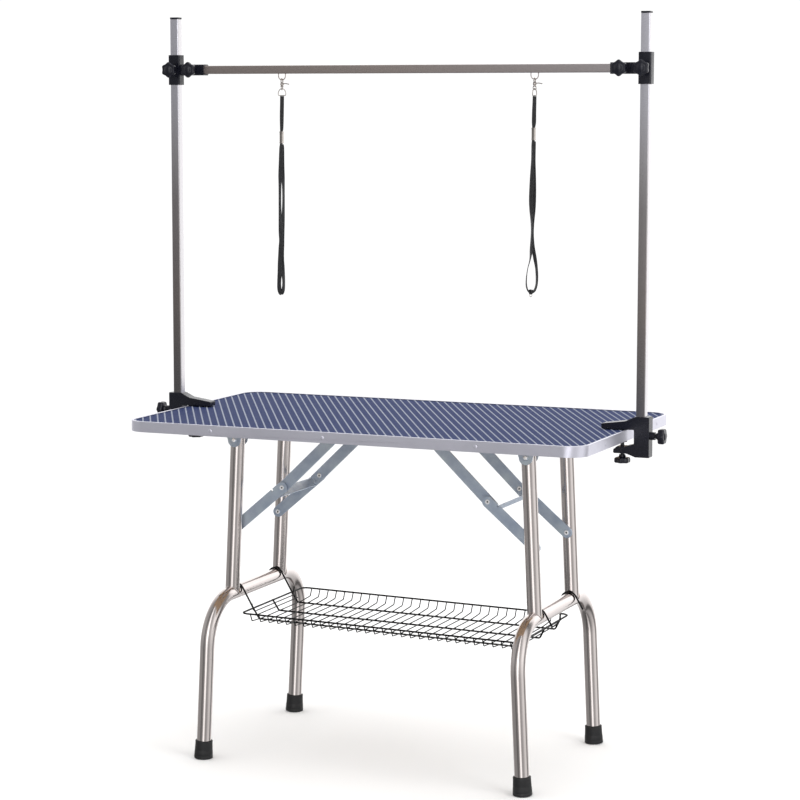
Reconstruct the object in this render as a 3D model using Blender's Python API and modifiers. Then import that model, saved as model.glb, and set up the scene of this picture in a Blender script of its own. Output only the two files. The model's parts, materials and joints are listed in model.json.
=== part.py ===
"""Folding grooming table: padded top, two folding leg frames, clamp-on overhead bar, nooses, basket.

Metres, +Z up, +X along the table, -Y towards the groomer. The floor is z = 0.
"""
import math

import bmesh
import bpy
from mathutils import Matrix, Vector

# ---- driving dimensions -------------------------------------------------------------------
GAP = 0.0003                    # left between pieces that touch
MERGE = 0.000003

TABLE_LENGTH = 1.052
TABLE_WIDTH = 0.61
TABLE_HEIGHT = 0.754
TABLE_CORNER = 0.045
TRIM_HEIGHT = 0.0233
TRIM_WALL = 0.0015
TRIM_LIP = 0.0055
LIP_THICKNESS = 0.0010
MAT_THICKNESS = 0.0028
TRIM_RIVETS_X = (-0.316, -0.052, 0.294)    # along the long edges
TRIM_RIVETS_Y = (-0.157, 0.198)            # along the short ones

TUBE_RADIUS = 0.016
TUBE_WALL = 0.0015
LEG_PIVOT_X = 0.343
LEG_PIVOT_Z = 0.700
LEG_SPLAY = math.radians(2.74)
UPRIGHT_Y = 0.120
FOOT_Y = 0.233
FOOT_BEND = 0.100
CROSS_TUBE_DOWN = 0.3474        # from the pivot, along the leg
FOOT_END_DOWN = 0.6998
RUBBER_HEIGHT = 0.040
RUBBER_FLOOR = 0.006

PIN_RADIUS = 0.004
EAR_RADIUS = 0.0155
EAR_THICKNESS = 0.0025

BRACE_ANCHOR = (0.1285, 0.7050)     # x and z of the three pivots of the right-hand brace
BRACE_ELBOW = (0.24388, 0.59472)
BRACE_FOOT = (0.3524, 0.5030)
LINK_WIDTH = 0.025
LINK_THICKNESS = 0.003
UPPER_LINK_Y = 0.0955               # middle of each strip, from the table's centre line
LOWER_LINK_Y = 0.1018
LINK_PIN = 0.003
LINK_OVERRUN = 0.016                # how far the upper link's round end is set past the elbow
ANCHOR_FLANGE = 0.026
CROSS_PLATE_FROM_ELBOW = 0.022

MAST_X = 0.553
MAST_SIZE = 0.020
MAST_FOOT_Z = 0.700
MAST_TOP_Z = 1.627
BAR_Z = 1.5138
BAR_SIZE = 0.0183
BAR_HALF_LENGTH = 0.5355
BOX_WALL = 0.0015
SLEEVE_SIZE = (0.028, 0.025, 0.0665)
BAR_SLEEVE_END = 0.478
BAR_KNOB_X = 0.5045

CLAMP_WIDTH = 0.027
SCREW_X = 0.511
SCREW_RADIUS = 0.004
PAD_RADIUS = 0.010
PAD_THICKNESS = 0.004
LOCK_KNOB_Z = 0.742

NOOSE_X = {"left": -0.2885, "right": 0.3065}
EYELET_RADIUS = 0.0085
STRAP_WIDTH = 0.010
STRAP_THICKNESS = 0.002

BASKET_RIM_Z = 0.3122               # at the table's middle; it hangs a little lower on the right
BASKET_FLOOR_Z = 0.2897
BASKET_TILT = 0.015
BASKET_HALF_WIDTH = 0.160
BASKET_FLOOR_X = {"left": 0.3025, "right": 0.328}
BASKET_RIM_X = {"left": 0.3175, "right": 0.339}
BASKET_CORNER = 0.015
CARRIER_Y = 0.100
HOOK_LEAVES = 31                    # degrees round the cross tube where the hook runs straight
HOOK_TIP = 0.033
RIM_WIRE = 0.0020
CROSS_WIRE = 0.0013
CROSS_WIRES = 30
CROSS_PITCH = 0.0212
FIRST_CROSS_X = -0.295
END_WIRES = (0.36, 0.70)            # share of the way up each sloping end
STUB_LENGTH = 0.012

SIDES = {"left": -1, "right": 1}
ENDS = {"front": -1, "rear": 1}

TABLE_UNDERSIDE = TABLE_HEIGHT - TRIM_HEIGHT + LIP_THICKNESS + GAP


# ---- scene, materials and helpers ---------------------------------------------------------
for old in list(bpy.data.objects):
    bpy.data.objects.remove(old, do_unlink=True)

PARTS = bpy.data.collections.new("grooming_table")
CUTTERS = bpy.data.collections.new("cutters")
bpy.context.scene.collection.children.link(PARTS)
bpy.context.scene.collection.children.link(CUTTERS)
CUTTERS.hide_render = True


def material(name, colour, roughness, metallic=0.0):
    made = bpy.data.materials.new(name)
    made.use_nodes = True
    shader = made.node_tree.nodes["Principled BSDF"]
    shader.inputs["Base Color"].default_value = (*colour, 1.0)
    shader.inputs["Roughness"].default_value = roughness
    shader.inputs["Metallic"].default_value = metallic
    made.diffuse_color = (*colour, 1.0)
    return made


FINISH = {
    "steel": ((0.62, 0.60, 0.58), 0.28, 1.0),
    "zinc": ((0.55, 0.57, 0.55), 0.38, 1.0),
    "aluminium": ((0.72, 0.72, 0.74), 0.35, 1.0),
    "bright_metal": ((0.78, 0.77, 0.75), 0.18, 1.0),
    "black_plastic": ((0.016, 0.016, 0.019), 0.30, 0.0),
    "black_rubber": ((0.012, 0.012, 0.013), 0.55, 0.0),
    "black_wire": ((0.012, 0.012, 0.013), 0.35, 0.0),
    "blue_rubber": ((0.065, 0.085, 0.26), 0.60, 0.0),
    "plywood": ((0.42, 0.30, 0.19), 0.70, 0.0),
    "black_webbing": ((0.010, 0.010, 0.012), 0.85, 0.0),
}


def empty(name, place, parent=None, tilt=0.0):
    made = bpy.data.objects.new(name, None)
    made.empty_display_size = 0.03
    made.location = place
    made.rotation_euler = (0.0, tilt, 0.0)
    PARTS.objects.link(made)
    if parent:
        attach(made, parent)
    return made


def world(thing):
    """Where an object stands, worked out from its own settings and its parents'."""
    if thing.parent is None:
        return thing.matrix_basis.copy()
    return world(thing.parent) @ thing.matrix_parent_inverse @ thing.matrix_basis


def attach(thing, parent):
    """Parent without moving, for pieces modelled at their place in the table."""
    thing.parent = parent
    thing.matrix_parent_inverse = world(parent).inverted()


def piece(name, mesh, finish, parent=None, local=False):
    """A named sub-part with its own material. A local one is modelled in its parent's frame."""
    made = bpy.data.objects.new(name, mesh)
    made.data.materials.clear()
    made.data.materials.append(material(name + "_" + finish, *FINISH[finish]))
    PARTS.objects.link(made)
    if parent and local:
        made.parent = parent
    elif parent:
        attach(made, parent)
    return made


def tidy(mesh):
    shape = bmesh.new()
    shape.from_mesh(mesh)
    bmesh.ops.remove_doubles(shape, verts=shape.verts, dist=MERGE)
    bmesh.ops.recalc_face_normals(shape, faces=shape.faces)
    shape.to_mesh(mesh)
    shape.free()
    return mesh


def mesh_of(thing):
    """The finished mesh of an object with its modifiers, in the object's own frame."""
    depsgraph = bpy.context.evaluated_depsgraph_get()
    mesh = bpy.data.meshes.new_from_object(thing.evaluated_get(depsgraph))
    bpy.data.objects.remove(thing, do_unlink=True)
    return tidy(mesh)


def loose(data, name="draft"):
    made = bpy.data.objects.new(name, data)
    bpy.context.scene.collection.objects.link(made)
    return made


def box_mesh(size, centre):
    shape = bmesh.new()
    place = Matrix.Translation(centre) @ Matrix.Diagonal((*size, 1.0))
    bmesh.ops.create_cube(shape, size=1.0, matrix=place)
    mesh = bpy.data.meshes.new("box")
    shape.to_mesh(mesh)
    shape.free()
    return mesh


def rod_mesh(radius, start, end, sides=20, end_radius=None):
    start, end = Vector(start), Vector(end)
    along = end - start
    turn = Vector((0, 0, 1)).rotation_difference(along).to_matrix().to_4x4()
    shape = bmesh.new()
    bmesh.ops.create_cone(
        shape,
        cap_ends=True,
        segments=sides,
        radius1=radius,
        radius2=radius if end_radius is None else end_radius,
        depth=along.length,
        matrix=Matrix.Translation((start + end) / 2) @ turn,
    )
    mesh = bpy.data.meshes.new("rod")
    shape.to_mesh(mesh)
    shape.free()
    return mesh


def flat_curve(outlines, thickness):
    """One or more closed outlines, the inner ones as holes, as a plate in the XY plane."""
    curve = bpy.data.curves.new("outline", "CURVE")
    curve.dimensions = "2D"
    curve.fill_mode = "BOTH"
    curve.extrude = thickness / 2
    for points in outlines:
        spline = curve.splines.new("POLY")
        spline.points.add(len(points) - 1)
        for spot, (u, v) in zip(spline.points, points):
            spot.co = (u, v, 0.0, 1.0)
        spline.use_cyclic_u = True
    return curve


UPRIGHT_XZ = Matrix.Rotation(math.radians(90), 4, "X")      # outline's y becomes z
ACROSS_YZ = Matrix.Rotation(math.radians(90), 4, "Z") @ UPRIGHT_XZ   # outline's x becomes y


def plate_mesh(outlines, thickness, place=Matrix()):
    mesh = mesh_of(loose(flat_curve(outlines, thickness)))
    mesh.transform(place)
    return tidy(mesh)


def wire_mesh(points, radius, cyclic=False, roundness=1, open_ends=False):
    curve = bpy.data.curves.new("wire", "CURVE")
    curve.dimensions = "3D"
    curve.bevel_depth = radius
    curve.bevel_resolution = roundness
    curve.use_fill_caps = not open_ends
    spline = curve.splines.new("POLY")
    spline.points.add(len(points) - 1)
    for spot, at in zip(spline.points, points):
        spot.co = (*at, 1.0)
    spline.use_cyclic_u = cyclic
    return mesh_of(loose(curve))


def pipe_mesh(points, radius, wall, roundness):
    """A bent tube with open ends and a real wall."""
    skin = loose(wire_mesh(points, radius, roundness=roundness, open_ends=True))
    inner = skin.modifiers.new("wall", "SOLIDIFY")
    inner.thickness = wall
    inner.offset = -1.0
    inner.use_rim = True
    return mesh_of(skin)


def turned_mesh(profile, steps, place=Matrix()):
    """A profile of (radius, height) turned about Z; it runs down the outer side."""
    mesh = bpy.data.meshes.new("profile")
    shape = bmesh.new()
    spots = [shape.verts.new((r, 0.0, z)) for r, z in profile]
    for one, other in zip(spots, spots[1:]):
        shape.edges.new((one, other))
    shape.to_mesh(mesh)
    shape.free()
    turned = loose(mesh)
    screw = turned.modifiers.new("turn", "SCREW")
    screw.steps = steps
    screw.render_steps = steps
    screw.use_merge_vertices = True
    screw.merge_threshold = 0.00001
    made = mesh_of(turned)
    made.transform(place)
    return made


def cutter(mesh, name="cutter"):
    made = bpy.data.objects.new(name, mesh)
    made.display_type = "WIRE"
    made.hide_render = True
    CUTTERS.objects.link(made)
    return made


def combine(mesh, others, operation):
    """The mesh with each of the others cut away from it or joined to it."""
    thing = loose(mesh)
    tools = [cutter(other) for other in others]
    for tool in tools:
        boolean = thing.modifiers.new("combine", "BOOLEAN")
        boolean.operation = operation
        boolean.solver = "EXACT"
        boolean.object = tool
    made = mesh_of(thing)
    for tool in tools:
        bpy.data.objects.remove(tool, do_unlink=True)
    return made


def combine_group(mesh, others, operation):
    """As combine, for many pieces that don't meet each other, in one step."""
    group = bpy.data.collections.new("group")
    CUTTERS.children.link(group)
    for other in others:
        tool = bpy.data.objects.new("tool", other)
        tool.hide_render = True
        group.objects.link(tool)
    thing = loose(mesh)
    boolean = thing.modifiers.new("combine", "BOOLEAN")
    boolean.operation = operation
    boolean.solver = "EXACT"
    boolean.operand_type = "COLLECTION"
    boolean.collection = group
    made = mesh_of(thing)
    for tool in list(group.objects):
        bpy.data.objects.remove(tool, do_unlink=True)
    bpy.data.collections.remove(group)
    return made


def cut(mesh, *others):
    return combine(mesh, others, "DIFFERENCE")


def join(mesh, *others):
    return combine(mesh, others, "UNION")


def arc(centre, radius, start, end, steps):
    """Points on an arc, with the angles in degrees."""
    turns = [math.radians(start + (end - start) * k / steps) for k in range(steps + 1)]
    return [(centre[0] + radius * math.cos(a), centre[1] + radius * math.sin(a)) for a in turns]


def rounded_rectangle(width, height, corner, steps=5, centre=(0.0, 0.0)):
    points = []
    for k, (sx, sy) in enumerate([(1, 1), (-1, 1), (-1, -1), (1, -1)]):
        middle = (
            centre[0] + sx * (width / 2 - corner),
            centre[1] + sy * (height / 2 - corner),
        )
        points += arc(middle, corner, 90 * k, 90 * k + 90, steps)
    return points


# ---- table top ----------------------------------------------------------------------------
def top_plate(inset, low, high, steps=7):
    outline = rounded_rectangle(
        TABLE_LENGTH - 2 * inset, TABLE_WIDTH - 2 * inset, TABLE_CORNER - inset, steps
    )
    return plate_mesh([outline], high - low, Matrix.Translation((0, 0, (low + high) / 2)))


def trim_rivet(place):
    """A low domed head; its place's +X points out of the trim."""
    dome, rim, root = 0.0009, 0.0042, -0.0007
    mesh = turned_mesh([(0.0, dome), (0.0030, dome), (rim, 0.0), (rim, root), (0.0, root)], 10)
    mesh.transform(place @ Matrix.Rotation(math.radians(90), 4, "Y"))
    return mesh


def trim_rivets():
    z = TABLE_HEIGHT - TRIM_HEIGHT / 2
    spots = [(x, side * TABLE_WIDTH / 2, 90 * side) for x in TRIM_RIVETS_X for side in (-1, 1)]
    spots += [(TABLE_LENGTH / 2, y, 0) for y in TRIM_RIVETS_Y]
    spots += [(-TABLE_LENGTH / 2, y, 180) for y in TRIM_RIVETS_Y]
    turned = [(Vector((x, y, z)), math.radians(turn)) for x, y, turn in spots]
    return [trim_rivet(Matrix.Translation(at) @ Matrix.Rotation(turn, 4, "Z")) for at, turn in turned]


def build_top():
    trim_low = TABLE_HEIGHT - TRIM_HEIGHT
    board_low = trim_low + LIP_THICKNESS + GAP
    mat_high = TABLE_HEIGHT - LIP_THICKNESS - GAP
    board_high = mat_high - MAT_THICKNESS - GAP
    inside = TRIM_WALL + GAP
    piece("table_board", top_plate(inside, board_low, board_high), "plywood")
    piece("rubber_mat", top_plate(inside, mat_high - MAT_THICKNESS, mat_high), "blue_rubber")
    trim = cut(
        top_plate(0.0, trim_low, TABLE_HEIGHT),
        top_plate(TRIM_LIP, trim_low - 0.01, TABLE_HEIGHT + 0.01),
        top_plate(TRIM_WALL, trim_low + LIP_THICKNESS, TABLE_HEIGHT - LIP_THICKNESS),
    )
    piece("edge_trim", join(trim, *trim_rivets()), "aluminium")


# ---- legs ---------------------------------------------------------------------------------
def hinge_bracket(name, side, y):
    """A U of sheet steel under the board, with the rivet that the leg turns on."""
    x, z = side * LEG_PIVOT_X, LEG_PIVOT_Z
    top = TABLE_UNDERSIDE - GAP
    half = 0.0225
    ear = [(x + half, top), (x + half, top - 0.008)]
    ear += arc((x, z), EAR_RADIUS, 0, -180, 10)
    ear += [(x - half, top - 0.008), (x - half, top)]
    inside = TUBE_RADIUS + 0.0006
    outside = inside + EAR_THICKNESS
    body = plate_mesh([ear], 2 * outside, Matrix.Translation((0, y, 0)) @ UPRIGHT_XZ)
    roof = top - EAR_THICKNESS
    body = cut(body, box_mesh((0.08, 2 * inside, 0.10), (x, y, roof - 0.05)))
    flange = box_mesh((2 * half, 0.066, EAR_THICKNESS), (x, y, top - EAR_THICKNESS / 2))
    reach = outside + 0.0012
    pin = rod_mesh(PIN_RADIUS, (x, y - reach, z), (x, y + reach, z), 16)
    seats = [(y + end * (outside - 0.0002), y + end * (outside + 0.0018)) for end in (-1, 1)]
    heads = [rod_mesh(0.0065, (x, low, z), (x, high, z), 16, 0.0045) for low, high in seats]
    piece(name, join(body, flange, pin, *heads), "zinc")


def leg_upright(name, y, leg):
    top = 0.014
    tube = pipe_mesh([(0, y, top), (0, y, -CROSS_TUBE_DOWN)], TUBE_RADIUS, TUBE_WALL, 4)
    reach = TUBE_RADIUS + 0.01
    saddle = rod_mesh(
        TUBE_RADIUS + GAP, (0, y - reach, -CROSS_TUBE_DOWN), (0, y + reach, -CROSS_TUBE_DOWN), 32
    )
    hole = rod_mesh(PIN_RADIUS + 0.0004, (0, y - reach, 0), (0, y + reach, 0), 16)
    piece(name, cut(tube, saddle, hole), "steel", leg, local=True)


def foot_frame(name, leg):
    """The inverted U that both uprights stand on."""
    end = -(FOOT_END_DOWN - RUBBER_FLOOR - GAP)
    level = -CROSS_TUBE_DOWN
    bend = (FOOT_Y - FOOT_BEND, level - FOOT_BEND)
    half = [(FOOT_Y, end)] + arc(bend, FOOT_BEND, 0, 90, 6)
    path = [(0, -y, z) for y, z in half] + [(0, y, z) for y, z in reversed(half)]
    piece(name, pipe_mesh(path, TUBE_RADIUS, TUBE_WALL, 4), "steel", leg, local=True)


def rubber_foot(name, y, leg):
    bore = TUBE_RADIUS + GAP
    profile = [
        (0.0, RUBBER_FLOOR),
        (bore, RUBBER_FLOOR),
        (bore, RUBBER_HEIGHT),
        (0.0182, RUBBER_HEIGHT),
        (0.0208, 0.0025),
        (0.0188, 0.0),
        (0.0, 0.0),
    ]
    place = Matrix.Translation((0, y, -FOOT_END_DOWN))
    piece(name, turned_mesh(profile, 24, place), "black_rubber", leg, local=True)


def build_legs():
    for side_name, side in SIDES.items():
        pivot = (side * LEG_PIVOT_X, 0, LEG_PIVOT_Z)
        leg = empty(side_name + "_leg_pivot", pivot, tilt=-side * LEG_SPLAY)
        foot_frame(side_name + "_foot_frame", leg)
        for end_name, end in ENDS.items():
            corner = side_name + "_" + end_name
            hinge_bracket(corner + "_leg_bracket", side, end * UPRIGHT_Y)
            leg_upright(corner + "_upright", end * UPRIGHT_Y, leg)
            rubber_foot(corner + "_rubber_foot", end * FOOT_Y, leg)


# ---- folding braces -----------------------------------------------------------------------
def link_outline(start, end, half=LINK_WIDTH / 2):
    """A strip with round ends about its two pivots."""
    heading = math.degrees(math.atan2(end.y - start.y, end.x - start.x))
    points = arc(end, half, heading - 90, heading + 90, 8)
    return points + arc(start, half, heading + 90, heading + 270, 8)


def brace_point(side, spot):
    return Vector((side * spot[0], spot[1]))


def brace_line(side):
    """The elbow, and the direction that the upper link reaches it in."""
    elbow = brace_point(side, BRACE_ELBOW)
    return elbow, (elbow - brace_point(side, BRACE_ANCHOR)).normalized()


def across(end, y):
    return Matrix.Translation((0, end * y, 0)) @ UPRIGHT_XZ


def rivet(spot, radius, low, high, end, sides=14):
    """A short round piece across the links, from low to high out from the centre line."""
    return rod_mesh(radius, (spot[0], end * low, spot[1]), (spot[0], end * high, spot[1]), sides)


def anchor_bracket(name, side, end):
    """The ear under the board, on the inner side of the upper link, with the link's rivet."""
    anchor = brace_point(side, BRACE_ANCHOR)
    top = TABLE_UNDERSIDE - GAP
    ear = [(anchor[0] + 0.017, top), (anchor[0] + 0.017, top - 0.006)]
    ear += arc(anchor, 0.011, -10, -170, 8)
    ear += [(anchor[0] - 0.017, top - 0.006), (anchor[0] - 0.017, top)]
    outer = UPPER_LINK_Y - LINK_THICKNESS / 2 - GAP
    inner = outer - EAR_THICKNESS
    body = plate_mesh([ear], EAR_THICKNESS, across(end, (outer + inner) / 2))
    flange = box_mesh(
        (0.034, ANCHOR_FLANGE, EAR_THICKNESS),
        (anchor[0], end * (outer - ANCHOR_FLANGE / 2), top - EAR_THICKNESS / 2),
    )
    pin = rivet(anchor, LINK_PIN, inner - 0.0010, UPPER_LINK_Y + LINK_THICKNESS / 2, end)
    head = rivet(anchor, 0.0055, inner - 0.0016, inner + 0.0004, end)
    piece(name, join(body, flange, pin, head), "zinc")


def notch(side, end, y):
    """The small step in a link's upper edge beside the cross plate."""
    elbow, heading = brace_line(side)
    edge = elbow + heading * CROSS_PLATE_FROM_ELBOW + side * heading.orthogonal() * LINK_WIDTH / 2
    place = Matrix.Translation((edge.x, end * y, edge.y))
    mesh = box_mesh((0.0045, 2 * LINK_THICKNESS, 0.006), (0, 0, 0))
    mesh.transform(place @ Matrix.Rotation(-math.atan2(heading.y, heading.x), 4, "Y"))
    return mesh


def upper_link(name, side, end, parent):
    """It runs on past the elbow to the cross plate, and carries the elbow's rivet."""
    anchor, elbow = brace_point(side, BRACE_ANCHOR), brace_point(side, BRACE_ELBOW)
    tip = elbow + brace_line(side)[1] * LINK_OVERRUN
    strip = plate_mesh([link_outline(anchor, tip)], LINK_THICKNESS, across(end, UPPER_LINK_Y))
    hole = rivet(anchor, LINK_PIN + 0.0004, 0.09, 0.10, end)
    inner = UPPER_LINK_Y - LINK_THICKNESS / 2
    far_face = LOWER_LINK_Y + LINK_THICKNESS / 2
    shank = rivet(elbow, LINK_PIN, inner + 0.0005, far_face, end)
    head = rivet(elbow, 0.006, inner - 0.0016, inner + 0.0005, end)
    washer = rivet(elbow, 0.006, UPPER_LINK_Y, LOWER_LINK_Y - LINK_THICKNESS / 2 - GAP, end)
    strip = cut(strip, hole, notch(side, end, UPPER_LINK_Y))
    piece(name, join(strip, shank, head, washer), "zinc", parent)


def lower_link(name, side, end, parent):
    """At its foot is the rivet that turns in the upright."""
    elbow, foot = brace_point(side, BRACE_ELBOW), brace_point(side, BRACE_FOOT)
    strip = plate_mesh([link_outline(elbow, foot)], LINK_THICKNESS, across(end, LOWER_LINK_Y))
    hole = rivet(elbow, LINK_PIN + 0.0004, 0.095, 0.11, end)
    inner = LOWER_LINK_Y - LINK_THICKNESS / 2
    shank = rivet(foot, LINK_PIN, LOWER_LINK_Y, UPRIGHT_Y - TUBE_RADIUS - GAP, end)
    head = rivet(foot, 0.006, inner - 0.0018, inner + 0.0005, end)
    strip = cut(strip, hole, notch(side, end, LOWER_LINK_Y))
    piece(name, join(strip, shank, head), "zinc", parent)


def cross_plate(name, side, parent):
    """Ties the two upper links together just past the elbow, with a tab bent at each end."""
    elbow, heading = brace_line(side)
    middle = elbow + heading * CROSS_PLATE_FROM_ELBOW
    reach = UPPER_LINK_Y - LINK_THICKNESS / 2 - GAP
    web = box_mesh((0.0018, 2 * reach, LINK_WIDTH - 0.003), (0, 0, 0))
    tabs = [
        box_mesh((0.0076, 0.0018, LINK_WIDTH - 0.009), (-0.0030, end * (reach - 0.0009), 0))
        for end in (-1, 1)
    ]
    mesh = join(web, *tabs)
    mesh.transform(Matrix.Rotation(-math.atan2(heading.y, heading.x), 4, "Y"))
    mesh.transform(Matrix.Translation((middle.x, 0, middle.y)))
    piece(name, mesh, "zinc", parent)


def build_braces():
    for side_name, side in SIDES.items():
        anchor, elbow = brace_point(side, BRACE_ANCHOR), brace_point(side, BRACE_ELBOW)
        upper = empty(side_name + "_upper_link_pivot", (anchor.x, 0, anchor.y))
        lower = empty(side_name + "_lower_link_pivot", (elbow.x, 0, elbow.y), upper)
        for end_name, end in ENDS.items():
            corner = side_name + "_" + end_name
            anchor_bracket(corner + "_brace_anchor", side, end)
            upper_link(corner + "_upper_link", side, end, upper)
            lower_link(corner + "_lower_link", side, end, lower)
        cross_plate(side_name + "_cross_plate", side, upper)


# ---- knobs --------------------------------------------------------------------------------
KNOB_RADIUS = 0.0162
KNOB_LOBE = 0.0013
KNOB_LOBES = 6
KNOB_STEPS = 24


def star_knob(stem_radius, stem, neck, thickness, dome, place):
    """A six-lobed knob about Z; its stem starts at z = 0 and the dome is at the top."""
    low = stem
    profile = [
        (0.0, low + neck + thickness + dome),
        (0.0055, low + neck + thickness + dome * 0.75),
        (0.0090, low + neck + thickness),
        (KNOB_RADIUS - 0.0020, low + neck + thickness),
        (KNOB_RADIUS, low + neck + thickness - 0.0025),
        (KNOB_RADIUS, low + neck + 0.0020),
        (KNOB_RADIUS - 0.0020, low + neck),
        (0.0085, low + neck),
        (0.0065, low),
        (stem_radius, low),
        (stem_radius, 0.0),
        (0.0, 0.0),
    ]
    mesh = turned_mesh(profile, KNOB_STEPS)
    for spot in mesh.vertices:
        reach = math.hypot(spot.co.x, spot.co.y)
        if reach > KNOB_RADIUS - 0.003:
            turn = math.atan2(spot.co.y, spot.co.x)
            wave = math.cos(KNOB_LOBES * turn - math.pi)
            grown = (reach + KNOB_LOBE * wave) / reach
            spot.co.x *= grown
            spot.co.y *= grown
    mesh.transform(place)
    return mesh


# ---- clamps and masts ---------------------------------------------------------------------
def clamp_outline(side):
    """The C of the clamp seen from the front, from the upper jaw's tip round to the mouth."""
    mouth_top = TABLE_HEIGHT + GAP
    right = [
        (0.4680, mouth_top),
        (0.4670, mouth_top + 0.0095),
        (0.4690, mouth_top + 0.0110),
        (0.5210, 0.7725),
        (0.5400, 0.7815),
        (0.5440, 0.7825),
        (0.5735, 0.7825),
        (0.5735, 0.6960),
        (0.5430, 0.6960),
        (0.5320, 0.7000),
        (0.5230, 0.7030),
        (0.4960, 0.7030),
        (0.4940, 0.7060),
        (0.4950, 0.7115),
        (0.5030, 0.7180),
        (0.5190, 0.7180),
        (0.5400, 0.7240),
        (0.5400, mouth_top),
    ]
    return [(side * x, z) for x, z in right]


def clamp_body(name, side):
    body = plate_mesh([clamp_outline(side)], CLAMP_WIDTH, UPRIGHT_XZ)
    rounded = loose(body)
    bevel = rounded.modifiers.new("soft_edges", "BEVEL")
    bevel.width = 0.0012
    bevel.segments = 1
    bevel.limit_method = "ANGLE"
    bevel.angle_limit = math.radians(50)
    body = mesh_of(rounded)
    boss = rod_mesh(0.0085, (side * 0.572, 0, LOCK_KNOB_Z), (side * 0.584, 0, LOCK_KNOB_Z), 20)
    channel = MAST_SIZE + 2 * GAP
    body = join(body, boss)
    body = cut(
        body,
        box_mesh((channel, channel, 0.2), (side * MAST_X, 0, 0.74)),
        rod_mesh(SCREW_RADIUS + 0.0005, (side * SCREW_X, 0, 0.69), (side * SCREW_X, 0, 0.725), 16),
        rod_mesh(0.0045, (side * 0.560, 0, LOCK_KNOB_Z), (side * 0.60, 0, LOCK_KNOB_Z), 16),
    )
    piece(name, body, "black_plastic")


def clamp_screw(side_name, side):
    """The pad under the table, and the screw with its knob that lifts it."""
    pad_high = TABLE_HEIGHT - TRIM_HEIGHT - GAP
    pad_low = pad_high - PAD_THICKNESS
    pad_joint = empty(side_name + "_pad_slide", (side * SCREW_X, 0, pad_low))
    pad = rod_mesh(PAD_RADIUS, (side * SCREW_X, 0, pad_low), (side * SCREW_X, 0, pad_high), 20)
    piece(side_name + "_clamp_pad", pad, "black_rubber", pad_joint)
    screw_joint = empty(side_name + "_screw_turn", (side * SCREW_X, 0, pad_low), pad_joint)
    screw_high = pad_low - GAP
    knob_high = 0.6995
    down = Matrix.Translation((side * SCREW_X, 0, screw_high)) @ Matrix.Rotation(math.pi, 4, "X")
    knob = star_knob(SCREW_RADIUS, screw_high - knob_high, 0.0065, 0.0115, 0.0010, down)
    piece(side_name + "_clamp_screw", knob, "black_plastic", screw_joint)


def lock_knob(side_name, side):
    start = side * (MAST_X + MAST_SIZE / 2 + 0.0012)
    joint = empty(side_name + "_lock_knob_turn", (start, 0, LOCK_KNOB_Z))
    outward = Matrix.Translation((start, 0, LOCK_KNOB_Z))
    outward = outward @ Matrix.Rotation(side * math.pi / 2, 4, "Y")
    stem = 0.5868 - abs(start)
    knob = star_knob(0.004, stem, 0.0045, 0.0140, 0.0020, outward)
    piece(side_name + "_mast_lock_knob", knob, "black_plastic", joint)


def box_tube(size, length, place, corner=0.0018):
    hollow = size - 2 * BOX_WALL
    outer = plate_mesh([rounded_rectangle(size, size, corner, 2)], length, place)
    inner = plate_mesh([rounded_rectangle(hollow, hollow, 0.0008, 1)], length + 0.02, place)
    return cut(outer, inner)


def mast(side_name, side, joint):
    length = MAST_TOP_Z - MAST_FOOT_Z
    place = Matrix.Translation((side * MAST_X, 0, MAST_FOOT_Z + length / 2))
    piece(side_name + "_mast", box_tube(MAST_SIZE, length, place), "steel", joint)
    plug = MAST_SIZE - 2 * BOX_WALL - 4 * GAP
    cap = plate_mesh(
        [rounded_rectangle(0.0206, 0.0206, 0.002, 2)],
        0.0038,
        Matrix.Translation((side * MAST_X, 0, MAST_TOP_Z + GAP + 0.0019)),
    )
    stub = box_mesh((plug, plug, 0.012), (side * MAST_X, 0, MAST_TOP_Z - 0.005))
    piece(side_name + "_mast_cap", join(cap, stub), "black_plastic", joint)


def build_masts():
    joints = {}
    for side_name, side in SIDES.items():
        clamp_body(side_name + "_clamp_body", side)
        clamp_screw(side_name, side)
        lock_knob(side_name, side)
        joints[side_name] = empty(side_name + "_mast_slide", (side * MAST_X, 0, MAST_FOOT_Z))
        mast(side_name, side, joints[side_name])
    return joints


# ---- overhead bar -------------------------------------------------------------------------
def eyelet(x):
    """The wire loop under the bar that a noose clips to."""
    underside = BAR_Z - BAR_SIZE / 2
    centre = underside - 0.0050
    loop = [(x - EYELET_RADIUS, underside + 0.0010)]
    loop += arc((x, centre), EYELET_RADIUS, 180, 360, 8)
    loop += [(x + EYELET_RADIUS, underside + 0.0010)]
    return wire_mesh([(px, 0, pz) for px, pz in loop], 0.0013, roundness=1)


def crossbar(joint):
    length = 2 * BAR_HALF_LENGTH
    place = Matrix.Translation((0, 0, BAR_Z)) @ ACROSS_YZ
    tube = box_tube(BAR_SIZE, length, place)
    piece("crossbar", join(tube, *[eyelet(x) for x in NOOSE_X.values()]), "steel", joint)


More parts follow.
